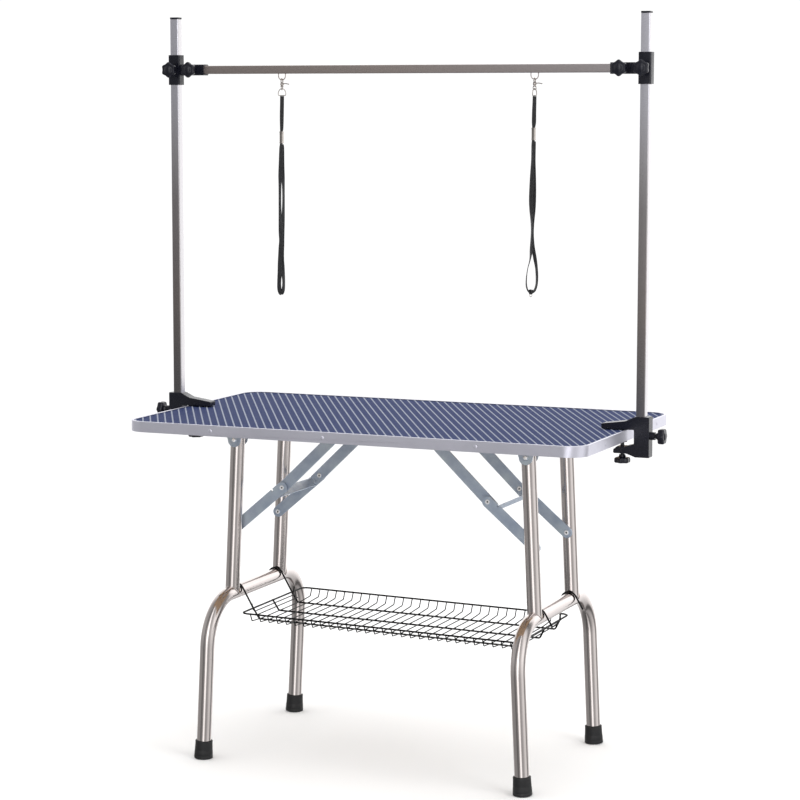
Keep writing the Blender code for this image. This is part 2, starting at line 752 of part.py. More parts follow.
def bar_bracket(side_name, side, joint):
    """The plastic tee: one sleeve round the mast and one round the bar."""
    size_x, size_y, size_z = SLEEVE_SIZE
    inner_face = MAST_X - size_x / 2
    upright = plate_mesh(
        [rounded_rectangle(size_x, size_y, 0.003, 2)],
        size_z,
        Matrix.Translation((side * MAST_X, 0, BAR_Z)),
    )
    sleeve_size = 0.0244
    reach = inner_face - BAR_SLEEVE_END + 0.004
    centre_x = side * (BAR_SLEEVE_END + reach / 2)
    sleeve = plate_mesh(
        [rounded_rectangle(sleeve_size - 0.001, sleeve_size, 0.0025, 2)],
        reach,
        Matrix.Translation((centre_x, 0, BAR_Z)) @ ACROSS_YZ,
    )
    groove_x = side * 0.5172
    groove = cut(
        box_mesh((0.0034, 0.04, 0.04), (groove_x, 0, BAR_Z)),
        box_mesh((0.0060, 0.0212, 0.0212), (groove_x, 0, BAR_Z)),
    )
    mast_hole = MAST_SIZE + 2 * GAP
    bar_hole = BAR_SIZE + 2 * GAP
    bar_end = BAR_HALF_LENGTH + GAP
    body = join(upright, cut(sleeve, groove))
    body = cut(
        body,
        box_mesh((mast_hole, mast_hole, 0.1), (side * MAST_X, 0, BAR_Z)),
        box_mesh((0.1, bar_hole, bar_hole), (side * (bar_end - 0.05), 0, BAR_Z)),
        rod_mesh(0.0036, (side * MAST_X, -0.05, BAR_Z), (side * MAST_X, -0.004, BAR_Z), 14),
        rod_mesh(0.0036, (side * BAR_KNOB_X, -0.05, BAR_Z), (side * BAR_KNOB_X, -0.004, BAR_Z), 14),
    )
    piece(side_name + "_bar_bracket", body, "black_plastic", joint)


def bracket_knob(name, x, tube_size, joint):
    start = -(tube_size / 2 + 0.0005)
    turn = empty(name + "_turn", (x, start, BAR_Z), joint)
    forward = Matrix.Translation((x, start, BAR_Z)) @ Matrix.Rotation(math.pi / 2, 4, "X")
    stem = 0.0260 + start
    knob = star_knob(0.003, stem, 0.0030, 0.0115, 0.0035, forward)
    piece(name, knob, "black_plastic", turn)


def build_bar(mast_joints):
    joint = empty("bar_slide", (-MAST_X, 0, BAR_Z), mast_joints["left"])
    crossbar(joint)
    for side_name, side in SIDES.items():
        bar_bracket(side_name, side, joint)
        bracket_knob(side_name + "_mast_knob", side * MAST_X, MAST_SIZE, joint)
        bracket_knob(side_name + "_bar_knob", side * BAR_KNOB_X, BAR_SIZE, joint)
    return joint


# ---- nooses -------------------------------------------------------------------------------
NOOSE = {
    "left": {"slider": (1.3776, 1.3515), "slits": [(1.266, 1.180, 0.0018), (1.060, 1.020, 0.0036)]},
    "right": {"slider": (1.3890, 1.3625), "slits": [(1.110, 1.038, 0.0095)]},
}
STRAP_TOP = 1.4555
STRAP_END = {"left": 1.0135, "right": 1.0330}
D_RING_FACING = {"left": 12, "right": 72}


def torus_mesh(centre, major, minor, plane):
    """A ring of wire; plane names the axis that it faces."""
    points = arc((0, 0), major, 0, 360 - 360 / 14, 13)
    if plane == "X":
        path = [(centre[0], centre[1] + u, centre[2] + v) for u, v in points]
    else:
        path = [(centre[0] + u, centre[1], centre[2] + v) for u, v in points]
    return wire_mesh(path, minor, cyclic=True)


def snap_hook(name, x, loop_z, joint, under_facing):
    """The trigger snap: an eye on the eyelet, a turned body, a thumb lever and an eye below."""
    eye_z = loop_z - 0.0020
    body_high = eye_z - 0.0040
    body_low = body_high - 0.0095
    eye = torus_mesh((x, 0, eye_z), 0.0048, 0.0011, "X")
    body = turned_mesh(
        [
            (0.0, body_high),
            (0.0022, body_high),
            (0.0034, body_high - 0.0025),
            (0.0034, body_low + 0.0025),
            (0.0022, body_low),
            (0.0, body_low),
        ],
        14,
        Matrix.Translation((x, 0, 0)),
    )
    lever_z = body_high - 0.0035
    lever_path = [
        (x + 0.001, 0, lever_z), (x + 0.009, 0, lever_z + 0.0012), (x + 0.0165, 0, lever_z)
    ]
    lever = wire_mesh(lever_path, 0.0011)
    under = torus_mesh((x, 0, body_low - 0.0027), 0.0036, 0.0011, under_facing)
    piece(name, join(eye, body, lever, under), "bright_metal", joint)
    return body_low - 0.0037


def d_ring(name, x, high, joint, facing):
    """A round-topped ring; its straight bar carries the strap."""
    wire = 0.0011
    half = 0.0085
    low = STRAP_TOP + GAP + wire
    shoulder = low + 0.0045
    rise = arc((0, 0), 1.0, 0, 180, 8)
    outline = [(half, low)]
    outline += [(half * u, shoulder + (high - shoulder) * v) for u, v in rise]
    outline += [(-half, low)]
    turn = math.radians(facing)
    path = [(x + u * math.cos(turn), u * math.sin(turn), v) for u, v in outline]
    piece(name, wire_mesh(path, wire, cyclic=True), "bright_metal", joint)


def strap(side_name, x, joint):
    """The webbing, flat, with its openings where the two runs part."""
    half = STRAP_WIDTH / 2
    end = STRAP_END[side_name]
    slits = NOOSE[side_name]["slits"]
    wide_low, wide_high, spread = slits[-1][1], slits[-1][0], slits[-1][2]
    middle = (wide_low + wide_high) / 2
    rise = (wide_high - wide_low) / 2
    bulge = [
        (half + spread * math.cos(math.pi * (k / 6 - 0.5)), middle + 1.1 * rise * (1 - 2 * k / 6))
        for k in range(7)
    ]
    side = [(half, STRAP_TOP)] + bulge + [(half - 0.002, end)]
    outline = [(x + u, v) for u, v in side] + [(x - u, v) for u, v in reversed(side)]
    outlines = [outline]
    for high, low, gape in slits:
        centre = (high + low) / 2
        reach = (high - low) / 2
        around = arc((0, 0), 1.0, 0, 330, 11)
        outlines.append([(x + gape * u, centre + reach * v) for u, v in around])
    mesh = plate_mesh(outlines, STRAP_THICKNESS, UPRIGHT_XZ)
    piece(side_name + "_noose_strap", mesh, "black_webbing", joint)


def slider(side_name, x, joint):
    high, low = NOOSE[side_name]["slider"]
    slide = empty(side_name + "_slider_slide", (x, 0, high), joint)
    width, depth = STRAP_WIDTH + 0.0026, STRAP_THICKNESS + 0.0026
    outer = rounded_rectangle(width, depth, 0.0010, 2)
    inner = rounded_rectangle(STRAP_WIDTH + 2 * GAP, STRAP_THICKNESS + 2 * GAP, 0.0002, 1)
    place = Matrix.Translation((x, 0, (high + low) / 2))
    mesh = plate_mesh([outer, inner], high - low, place)
    piece(side_name + "_noose_slider", mesh, "bright_metal", slide)


def build_nooses(bar_joint):
    loop_z = BAR_Z - BAR_SIZE / 2 - 0.0050 - EYELET_RADIUS
    for side_name, x in NOOSE_X.items():
        joint = empty(side_name + "_noose_swing", (x, 0, loop_z), bar_joint)
        under_facing = "X" if D_RING_FACING[side_name] < 45 else "Y"
        ring_top = snap_hook(side_name + "_snap_hook", x, loop_z, joint, under_facing)
        d_ring(side_name + "_d_ring", x, ring_top, joint, D_RING_FACING[side_name])
        strap(side_name, x, joint)
        slider(side_name, x, joint)
        if side_name == "right":
            ring_z = STRAP_END["right"] - 0.0011 - GAP - 0.0028
            ring = torus_mesh((x, 0, ring_z), 0.0028, 0.0009, "Y")
            piece("right_end_ring", ring, "bright_metal", joint)


# ---- basket -------------------------------------------------------------------------------
def basket_corner(side_name):
    """Floor corner and rim corner of one end, as distance out from the centre and height."""
    fall = BASKET_TILT * SIDES[side_name]
    floor_x = BASKET_FLOOR_X[side_name]
    rim_x = BASKET_RIM_X[side_name]
    floor = Vector((floor_x, BASKET_FLOOR_Z - fall * floor_x))
    return floor, Vector((rim_x, BASKET_RIM_Z - fall * rim_x))


def hook_end(side_name):
    """One end of a carrier wire: up from the floor, past the rim, over the cross tube."""
    centre = Vector((
        LEG_PIVOT_X + CROSS_TUBE_DOWN * math.sin(LEG_SPLAY),
        LEG_PIVOT_Z - CROSS_TUBE_DOWN * math.cos(LEG_SPLAY),
    ))
    radius = TUBE_RADIUS + RIM_WIRE + GAP
    floor, rim = basket_corner(side_name)
    away = centre - rim
    heading = math.degrees(math.atan2(away.y, away.x) + math.asin(radius / away.length))
    over = arc(centre, radius, heading + 90, HOOK_LEAVES, 6)
    down = math.radians(HOOK_LEAVES - 90)
    tip = (over[-1][0] + HOOK_TIP * math.cos(down), over[-1][1] + HOOK_TIP * math.sin(down))
    return [tuple(floor), tuple(rim)] + over + [tip]


def across_basket(y, ends):
    """A lengthwise wire at one y, from the left end's points to the right end's."""
    left = [(-x, y, z) for x, z in reversed(ends["left"])]
    return left + [(x, y, z) for x, z in ends["right"]]


def end_wires(side_name):
    """Short wires across a sloping end, and the stubs beside the two carriers."""
    side = SIDES[side_name]
    floor, rim = basket_corner(side_name)
    slope = (rim - floor).normalized()
    above = Vector((-slope.y, slope.x)) * (RIM_WIRE + CROSS_WIRE - 0.0007)
    wires = []
    for share in END_WIRES:
        spot = floor.lerp(rim, share) + above
        reach = CARRIER_Y + 0.006
        wires.append([(side * spot.x, -reach, spot.y), (side * spot.x, reach, spot.y)])
    for end in ENDS.values():
        beside = end * (CARRIER_Y + 0.0026)
        out = end * (CARRIER_Y + 0.0090)
        x = side * (rim.x - 0.0015)
        wires.append([(x, beside, rim.y - 0.004), (x, out, rim.y + STUB_LENGTH)])
    return wires


def basket_wires():
    ends = {side_name: basket_corner(side_name) for side_name in SIDES}
    hooks = {side_name: hook_end(side_name) for side_name in SIDES}
    middle = (BASKET_RIM_X["right"] - BASKET_RIM_X["left"]) / 2
    length = BASKET_RIM_X["right"] + BASKET_RIM_X["left"]
    rim = rounded_rectangle(length, 2 * BASKET_HALF_WIDTH, BASKET_CORNER, 4, (middle, 0.0))
    rim_path = [(x, y, BASKET_RIM_Z - BASKET_TILT * x) for x, y in rim]
    long_wires = [wire_mesh(across_basket(y, hooks), RIM_WIRE) for y in (-CARRIER_Y, CARRIER_Y)]
    long_wires.append(wire_mesh(across_basket(0, ends), RIM_WIRE))
    floor_z = BASKET_FLOOR_Z + RIM_WIRE + CROSS_WIRE - 0.0007
    half = [
        (BASKET_HALF_WIDTH, BASKET_RIM_Z),
        (BASKET_HALF_WIDTH - 0.009, floor_z + 0.003),
        (CARRIER_Y + 0.004, floor_z),
    ]
    section = [(-y, z) for y, z in half] + [(y, z) for y, z in reversed(half)]
    cross = []
    for k in range(CROSS_WIRES):
        x = FIRST_CROSS_X + k * CROSS_PITCH
        cross.append([(x, y, z - BASKET_TILT * x) for y, z in section])
    cross += end_wires("left") + end_wires("right")
    cross_wires = [wire_mesh(path, CROSS_WIRE, roundness=0) for path in cross]
    return wire_mesh(rim_path, RIM_WIRE, cyclic=True), long_wires, cross_wires


def build_basket():
    lift = empty("basket_lift", (0, 0, BASKET_RIM_Z))
    rim, long_wires, cross_wires = basket_wires()
    frame = combine_group(rim, long_wires, "UNION")
    basket = combine_group(frame, cross_wires, "UNION")
    piece("wire_basket", basket, "black_wire", lift)


# ---- the whole table ----------------------------------------------------------------------
build_top()
build_legs()
build_braces()
bar = build_bar(build_masts())
build_nooses(bar)
build_basket()
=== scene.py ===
import json
import math

import bmesh
import bpy
from mathutils import Matrix, Vector


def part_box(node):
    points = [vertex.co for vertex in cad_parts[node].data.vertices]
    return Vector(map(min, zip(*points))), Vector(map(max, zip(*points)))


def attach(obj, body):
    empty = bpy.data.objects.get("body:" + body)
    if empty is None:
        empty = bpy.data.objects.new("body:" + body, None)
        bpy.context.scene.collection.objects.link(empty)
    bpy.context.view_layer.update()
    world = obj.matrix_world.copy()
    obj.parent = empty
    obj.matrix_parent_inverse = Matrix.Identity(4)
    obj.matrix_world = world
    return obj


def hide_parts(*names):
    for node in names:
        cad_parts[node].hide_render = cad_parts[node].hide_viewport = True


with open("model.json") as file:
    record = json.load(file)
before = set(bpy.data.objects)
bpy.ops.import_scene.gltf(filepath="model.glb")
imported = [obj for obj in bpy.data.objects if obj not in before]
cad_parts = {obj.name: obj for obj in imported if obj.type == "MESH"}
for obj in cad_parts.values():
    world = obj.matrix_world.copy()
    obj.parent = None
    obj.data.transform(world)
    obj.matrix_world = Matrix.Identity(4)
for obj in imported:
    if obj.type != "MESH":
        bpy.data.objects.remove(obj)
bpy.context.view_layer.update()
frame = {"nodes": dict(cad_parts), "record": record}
NODES = frame["nodes"]
SIDES = {"left": -1, "right": 1}
ENDS = {"front": -1, "rear": 1}

# ---- sizes shared with the solids ----------------------------------------------------------
TABLE_LENGTH, TABLE_WIDTH, TABLE_CORNER = 1.052, 0.61, 0.045
TRIM_WALL = 0.0015
TUBE_RADIUS = 0.016
LEG_PIVOT_X, LEG_PIVOT_Z = 0.343, 0.700
LEG_SPLAY = math.radians(2.74)
UPRIGHT_Y, FOOT_Y, FOOT_BEND = 0.120, 0.233, 0.100
CROSS_TUBE_DOWN, FOOT_END_DOWN = 0.3474, 0.6998
MAST_X, BAR_KNOB_X, BAR_Z = 0.553, 0.5045, 1.5138
MAST_SIZE, BAR_SIZE = 0.020, 0.0183
LOCK_KNOB_Z, SCREW_X = 0.742, 0.511
NOOSE_X = {"left": -0.2885, "right": 0.3065}
LOOP_Z = BAR_Z - BAR_SIZE / 2 - 0.0135
STRAP_TOP = 1.4555
BASKET_RIM_Z, BASKET_FLOOR_Z, BASKET_TILT, BASKET_HALF_WIDTH = 0.3122, 0.2897, 0.015, 0.160
BASKET_FLOOR_X = {"left": 0.3025, "right": 0.328}
BASKET_RIM_X = {"left": 0.3175, "right": 0.339}
BASKET_CORNER, CARRIER_Y, RIM_WIRE, CROSS_WIRE = 0.015, 0.100, 0.0020, 0.0013
HOOK_LEAVES, HOOK_TIP = 31, 0.033
CROSS_WIRES, CROSS_PITCH, FIRST_CROSS_X = 30, 0.0212, -0.295
END_WIRES, STUB_LENGTH = (0.36, 0.70), 0.012


# ---- camera --------------------------------------------------------------------------------
CAMERA_LENS, CAMERA_PLACE = 110.918, (2.1147, -4.9611, 1.4435)
CAMERA_YAW, CAMERA_PITCH, CAMERA_ROLL = 0.40352, -0.12043, 0.00107


def build_camera():
    data = bpy.data.cameras.new("camera")
    data.lens = CAMERA_LENS
    data.sensor_width = 36.0
    data.clip_end = 60
    camera = bpy.data.objects.new("camera", data)
    turn = Matrix.Rotation(CAMERA_YAW, 3, "Z")
    turn = turn @ Matrix.Rotation(math.pi / 2 + CAMERA_PITCH, 3, "X")
    turn = turn @ Matrix.Rotation(CAMERA_ROLL, 3, "Z")
    camera.matrix_world = Matrix.Translation(CAMERA_PLACE) @ turn.to_4x4()
    bpy.context.scene.collection.objects.link(camera)
    bpy.context.scene.camera = camera


build_camera()


# ---- mesh tools ----------------------------------------------------------------------------
def made(name, mesh, slot, body, stands_for=(), smooth=40, look=None):
    """A piece in its slot's look, or another, with edges sharper than smooth degrees kept."""
    thing = bpy.data.objects.new(name, mesh)
    mesh.materials.clear()
    mesh.materials.append(LOOKS[look or slot])
    bpy.context.scene.collection.objects.link(thing)
    for face in mesh.polygons:
        face.use_smooth = True
    mesh.set_sharp_from_angle(angle=math.radians(smooth))
    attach(thing, body)
    if stands_for:
        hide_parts(*stands_for)
    return thing


def mesh_from(points, faces, name):
    mesh = bpy.data.meshes.new(name)
    mesh.from_pydata([tuple(p) for p in points], [], faces)
    mesh.validate()
    return mesh


def joined(name, meshes):
    """Several meshes as one, its normals made to face out."""
    whole = bmesh.new()
    for mesh in meshes:
        whole.from_mesh(mesh)
    mesh = bpy.data.meshes.new(name)
    bmesh.ops.recalc_face_normals(whole, faces=whole.faces)
    whole.to_mesh(mesh)
    whole.free()
    return mesh


def arc(centre, radius, start, end, steps):
    """Points on an arc from start to end degrees."""
    turns = [math.radians(start + (end - start) * k / steps) for k in range(steps + 1)]
    return [(centre[0] + radius * math.cos(t), centre[1] + radius * math.sin(t)) for t in turns]


def circle(radius, steps):
    """Points round a circle, the first not repeated at the end."""
    turns = [2 * math.pi * k / steps for k in range(steps)]
    return [(radius * math.cos(t), radius * math.sin(t)) for t in turns]


def rounded_rectangle(width, height, corner, steps):
    points = []
    for k, (sx, sy) in enumerate(((1, 1), (-1, 1), (-1, -1), (1, -1))):
        centre = (sx * (width / 2 - corner), sy * (height / 2 - corner))
        points += arc(centre, corner, 90 * k, 90 * k + 90, steps)
    return points


def directions(path, closed):
    """The way the path runs at each of its points."""
    count = len(path)
    result = []
    for k in range(count):
        if closed:
            step = path[(k + 1) % count] - path[k - 1]
        else:
            step = path[min(k + 1, count - 1)] - path[max(k - 1, 0)]
        result.append(step.normalized())
    return result


def swept(path, ring_at, side_at, closed=False, name="swept"):
    """Rings of (across, out) points along a path; side_at gives each ring's across direction."""
    path = [Vector(p) for p in path]
    points, faces, rings = [], [], []
    for k, (spot, heading) in enumerate(zip(path, directions(path, closed))):
        across = side_at(k)
        across = (across - heading * across.dot(heading)).normalized()
        out = heading.cross(across)
        ring = ring_at(k)
        rings.append(range(len(points), len(points) + len(ring)))
        points += [spot + across * u + out * v for u, v in ring]
    count = len(rings[0])
    pairs = list(zip(rings, rings[1:])) + ([(rings[-1], rings[0])] if closed else [])
    for low, high in pairs:
        for j in range(count):
            i = (j + 1) % count
            faces.append((low[j], low[i], high[i], high[j]))
    if not closed:
        faces.append(tuple(reversed(rings[0])))
        faces.append(tuple(rings[-1]))
    return mesh_from(points, faces, name)


def round_wire(path, radius, sides, closed=False):
    """A round wire along a path, its rings carried on from one to the next without twisting."""
    path = [Vector(p) for p in path]
    headings = directions(path, closed)
    first = Vector((0, 0, 1)) if abs(headings[0].z) < 0.9 else Vector((1, 0, 0))
    sides_along = []
    across = (first - headings[0] * first.dot(headings[0])).normalized()
    for heading in headings:
        across = (across - heading * across.dot(heading)).normalized()
        sides_along.append(across)
    ring = circle(radius, sides)
    return swept(path, lambda k: ring, lambda k: sides_along[k], closed, "wire")


def smooth_path(knots, steps=5):
    """A Catmull-Rom curve through the knots."""
    knots = [Vector(k) for k in knots]
    ends = [2 * knots[0] - knots[1]] + knots + [2 * knots[-1] - knots[-2]]
    result = []
    for a, b, c, d in zip(ends, ends[1:], ends[2:], ends[3:]):
        for k in range(steps):
            t = k / steps
            result.append(
                0.5 * (2 * b + (c - a) * t + (2 * a - 5 * b + 4 * c - d) * t * t
                       + (3 * b - a - 3 * c + d) * t * t * t)
            )
    return result + [knots[-1]]


def filleted(path, radius, steps=4):
    """A run of straight wires with its corners rounded off, each bend within radius of it."""
    path = [Vector(p) for p in path]
    result = [path[0]]
    for before, corner, after in zip(path, path[1:], path[2:]):
        back, on = (before - corner).normalized(), (after - corner).normalized()
        reach = min(radius, (before - corner).length * 0.45, (after - corner).length * 0.45)
        start, end = corner + back * reach, corner + on * reach
        for k in range(steps + 1):
            t = k / steps
            result.append(start * (1 - t) ** 2 + corner * 2 * t * (1 - t) + end * t * t)
    return result + [path[-1]]


def lathe(profile, steps, place, shape=None):
    """A profile of (radius, height) turned about Z; shape may move each (radius, turn)."""
    points, faces, rings = [], [], []
    for r, z in profile:
        if r < 1e-6:
            rings.append([len(points)])
            points.append(place @ Vector((0, 0, z)))
            continue
        rings.append(list(range(len(points), len(points) + steps)))
        for k in range(steps):
            turn = 2 * math.pi * k / steps
            reach = shape(r, turn) if shape else r
            points.append(place @ Vector((reach * math.cos(turn), reach * math.sin(turn), z)))
    for low, high in zip(rings, rings[1:]):
        for k in range(steps):
            a, b = low[k % len(low)], low[(k + 1) % len(low)]
            c, d = high[(k + 1) % len(high)], high[k % len(high)]
            corners = []
            for corner in (a, b, c, d):
                if corner not in corners:
                    corners.append(corner)
            if len(corners) > 2:
                faces.append(tuple(corners))
    return joined("turned", [mesh_from(points, faces, "turned")])


# ---- materials -----------------------------------------------------------------------------
# Painted reflection, from one end to the other: a mast's front from its foot up, the bar from the
# left.
MAST_FRONT_PAINTED_REFLECTION = [
    (0.0, (0.21, 0.195, 0.20)), (0.14, (0.25, 0.235, 0.24)), (0.32, (0.36, 0.32, 0.31)),
    (0.56, (0.44, 0.41, 0.42)), (0.68, (0.62, 0.60, 0.63)), (0.80, (0.80, 0.79, 0.86)),
    (1.0, (0.90, 0.89, 0.98)),
]
# Painted shade: one darker grey on the mast's back faces.
MAST_BACK_PAINTED_SHADE = (0.42, 0.41, 0.43)
BAR_PAINTED_REFLECTION = [(0.0, (0.51, 0.44, 0.42)), (0.45, (0.60, 0.52, 0.49)), (1.0, (0.63, 0.58, 0.59))]
SQUARE_TUBE_ROUGHNESS = 0.28
# Where most of a noise's values lie, and how rough the noise is.
NOISE_LOW, NOISE_HIGH, NOISE_ROUGHNESS = 0.3, 0.7, 0.55


class Nodes:
    """A node tree, and what is done in it here."""

    def __init__(self, tree):
        self.tree = tree

    def node(self, kind, **values):
        """A new node; each value is one of its properties or, with _ for a space, an input."""
        node = self.tree.nodes.new(kind)
        for key, value in values.items():
            if hasattr(node, key):
                setattr(node, key, value)
            else:
                node.inputs[key.replace("_", " ")].default_value = value
        return node

    def link(self, out, into):
        self.tree.links.new(out, into)

    def feed(self, value, into):
        """Give an input three numbers (a colour), one number, or another node's output."""
        if isinstance(value, tuple):
            into.default_value = (*value, 1)
        elif isinstance(value, float):
            into.default_value = value
        else:
            self.link(value, into)

    def parts(self, kind):
        """X, Y and Z of one kind of texture coordinate."""
        where = self.node("ShaderNodeTexCoord")
        parts = self.node("ShaderNodeSeparateXYZ")
        self.link(where.outputs[kind], parts.inputs[0])
        return parts.outputs

    def calc(self, operation, first, second, clamp=False):
        result = self.node("ShaderNodeMath", operation=operation, use_clamp=clamp)
        self.feed(first, result.inputs[0])
        self.feed(second, result.inputs[1])
        return result.outputs[0]

    def span(self, value, start, end, low=0.0, high=1.0):
        """What runs from start to end, made to run from low to high."""
        span = self.node(
            "ShaderNodeMapRange", From_Min=start, From_Max=end, To_Min=low, To_Max=high
        )
        self.link(value, span.inputs["Value"])
        return span.outputs["Result"]

    def ramp(self, value, stops):
        ramp = self.node("ShaderNodeValToRGB")
        elements = ramp.color_ramp.elements
        while len(elements) < len(stops):
            elements.new(0.5)
        for element, (at, colour) in zip(elements, stops):
            element.position = at
            element.color = (*colour, 1)
        self.link(value, ramp.inputs["Fac"])
        return ramp.outputs["Color"]

    def mixed(self, share, first, second):
        """Two colours mixed by a share of the second."""
        mix = self.node("ShaderNodeMix", data_type="RGBA")
        self.link(share, mix.inputs[0])
        self.feed(first, mix.inputs[6])
        self.feed(second, mix.inputs[7])
        return mix.outputs[2]


class Look(Nodes):
    """A Principled material with the few nodes that each surface adds to it."""

    def __init__(self, name, colour, roughness, metallic=0.0):
        self.material = bpy.data.materials.new(name)
        self.material.use_nodes = True
        self.material.diffuse_color = (*colour, 1)
        super().__init__(self.material.node_tree)
        self.shader = self.tree.nodes["Principled BSDF"]
        self.shader.inputs["Base Color"].default_value = (*colour, 1)
        self.shader.inputs["Roughness"].default_value = roughness
        self.shader.inputs["Metallic"].default_value = metallic
        self.colour = colour

    def noise(self, scale, detail=3.0, stretch=(1, 1, 1)):
        where = self.node("ShaderNodeTexCoord")
        mapping = self.node("ShaderNodeMapping", Scale=stretch)
        noise = self.node(
            "ShaderNodeTexNoise", Scale=scale, Detail=detail, Roughness=NOISE_ROUGHNESS
        )
        self.link(where.outputs["Object"], mapping.inputs["Vector"])
        self.link(mapping.outputs["Vector"], noise.inputs["Vector"])
        return noise.outputs["Fac"]

    def paint(self, colour):
        self.link(colour, self.shader.inputs["Base Color"])

    def tint(self, value, amount):
        """Base colour varied darker and lighter by a share of itself."""
        dark = tuple(c * (1 - amount) for c in self.colour)
        light = tuple(min(1.0, c * (1 + amount)) for c in self.colour)
        self.paint(self.ramp(value, [(NOISE_LOW, dark), (NOISE_HIGH, light)]))

    def rough(self, value, low, high):
        roughness = self.span(value, NOISE_LOW, NOISE_HIGH, low, high)
        self.link(roughness, self.shader.inputs["Roughness"])

    def bump(self, value, distance, strength):
        bump = self.node("ShaderNodeBump", Distance=distance, Strength=strength)
        self.link(value, bump.inputs["Height"])
        self.link(bump.outputs["Normal"], self.shader.inputs["Normal"])


def brushed(look, roughness, grain):
    """Fine streaks along grain's small axis."""
    streaks = look.noise(420.0, 2.0, grain)
    look.rough(streaks, roughness - 0.03, roughness + 0.05)
    look.bump(streaks, 0.00006, 0.35)
    return look.material


def steel(name, colour, roughness, grain, metallic=1.0):
    """Drawn or brushed metal with soft wear marks."""
    look = Look(name, colour, roughness, metallic)
    look.tint(look.noise(9.0, 4.0), 0.05)
    return brushed(look, roughness, grain)


def mast_steel():
    """Drawn square tube: painted reflection on its front, darker towards the clamp; painted shade
    on its back.
    """
    look = Look("drawn_mast_steel_painted_reflection", (0.70, 0.68, 0.70), SQUARE_TUBE_ROUGHNESS, 1.0)
    faces_back = look.parts("Normal")["Y"]
    # Painted reflection: the front's colour changes with height up the mast.
    painted_reflection = look.ramp(look.parts("Generated")["Z"], MAST_FRONT_PAINTED_REFLECTION)
    front = look.mixed(look.calc("MULTIPLY", faces_back, -1.0, True), look.colour, painted_reflection)
    # Painted shade on the faces whose normal points towards +Y.
    look.paint(look.mixed(look.calc("MULTIPLY", faces_back, 1.0, True), front, MAST_BACK_PAINTED_SHADE))
    return brushed(look, SQUARE_TUBE_ROUGHNESS, (30, 30, 1))


def bar_steel():
    """Drawn square tube with painted reflection, a little darker towards the table's left."""
    look = Look("drawn_bar_steel_painted_reflection", BAR_PAINTED_REFLECTION[1][1], SQUARE_TUBE_ROUGHNESS, 1.0)
    # Painted reflection: the colour changes along the bar from left to right.
    look.paint(look.ramp(look.parts("Generated")["X"], BAR_PAINTED_REFLECTION))
    return brushed(look, SQUARE_TUBE_ROUGHNESS, (1, 30, 30))


def zinc():
    look = Look("zinc_plate", (0.47, 0.54, 0.64), 0.44, 0.8)
    look.paint(look.ramp(look.noise(28.0, 5.0), [
        (0.32, (0.39, 0.46, 0.58)), (0.55, (0.50, 0.57, 0.67)), (0.72, (0.56, 0.65, 0.72)),
    ]))
    look.rough(look.noise(160.0, 3.0), 0.38, 0.50)
    look.bump(look.noise(700.0, 2.0), 0.00005, 0.3)
    return look.material


def plastic():
    look = Look("moulded_plastic", (0.0070, 0.0074, 0.0130), 0.25)
    look.tint(look.noise(12.0, 3.0), 0.15)
    look.rough(look.noise(90.0, 4.0), 0.20, 0.32)
    look.bump(look.noise(1400.0, 2.0), 0.00005, 0.35)
    look.shader.inputs["Specular IOR Level"].default_value = 0.38
    return look.material


def black_rubber():
    look = Look("moulded_rubber", (0.009, 0.009, 0.010), 0.62)
    look.tint(look.noise(20.0, 4.0), 0.25)
    look.rough(look.noise(60.0, 4.0), 0.52, 0.70)
    look.bump(look.noise(900.0, 3.0), 0.00010, 0.4)
    return look.material


def webbing():
    """Plain-woven nylon, from the strap's own run and width kept in its UVs."""
    look = Look("nylon_webbing", (0.012, 0.012, 0.014), 0.72)
    where = look.node("ShaderNodeUVMap")
    threads = []
    for scale, axis in ((420.0, "X"), (520.0, "Y")):
        wave = look.node("ShaderNodeTexWave", Scale=scale, Distortion=0.4, bands_direction=axis)
        look.link(where.outputs["UV"], wave.inputs["Vector"])
        threads.append(wave.outputs["Fac"])
    weave = look.calc("MULTIPLY", *threads)
    look.paint(look.ramp(weave, [(0.0, (0.006, 0.006, 0.007)), (1.0, (0.030, 0.030, 0.034))]))
    look.bump(weave, 0.00025, 0.8)
    look.shader.inputs["Sheen Weight"].default_value = 0.35
    look.shader.inputs["Sheen Roughness"].default_value = 0.4
    return look.material


def coated_wire():
    look = Look("coated_wire", (0.004, 0.004, 0.005), 0.40)
    look.tint(look.noise(60.0, 3.0), 0.3)
    look.rough(look.noise(200.0, 3.0), 0.32, 0.48)
    look.bump(look.noise(900.0, 2.0), 0.00004, 0.3)
    look.shader.inputs["Specular IOR Level"].default_value = 0.15
    return look.material


def plywood():
    look = Look("plywood", (0.42, 0.30, 0.19), 0.75)
    grain = look.noise(30.0, 6.0, (1, 14, 14))
    look.paint(look.ramp(grain, [
        (0.3, (0.30, 0.20, 0.12)), (0.55, (0.44, 0.32, 0.21)), (0.75, (0.52, 0.39, 0.26)),
    ]))
    look.bump(grain, 0.0002, 0.3)
    return look.material


def blue_rubber():
    """Pale tops on the ribs as painted highlight, marked in the mesh, over a blue ground."""
    look = Look("ribbed_blue_rubber", (0.055, 0.080, 0.215), 0.78)
    # Painted highlight: the rib crests, marked in the mesh, are given a pale colour.
    where = look.node("ShaderNodeAttribute", attribute_name="rib")
    grain = look.noise(300.0, 4.0)
    ground = look.ramp(grain, [
        (NOISE_LOW, (0.023, 0.033, 0.092)), (NOISE_HIGH, (0.035, 0.049, 0.129)),
    ])
    painted_crest_highlight = look.ramp(grain, [
        (NOISE_LOW, (0.23, 0.25, 0.32)), (NOISE_HIGH, (0.32, 0.34, 0.40)),
    ])
    look.paint(look.mixed(where.outputs["Fac"], ground, painted_crest_highlight))
    look.bump(grain, 0.00012, 0.5)
    look.shader.inputs["Specular IOR Level"].default_value = 0.12
    return look.material


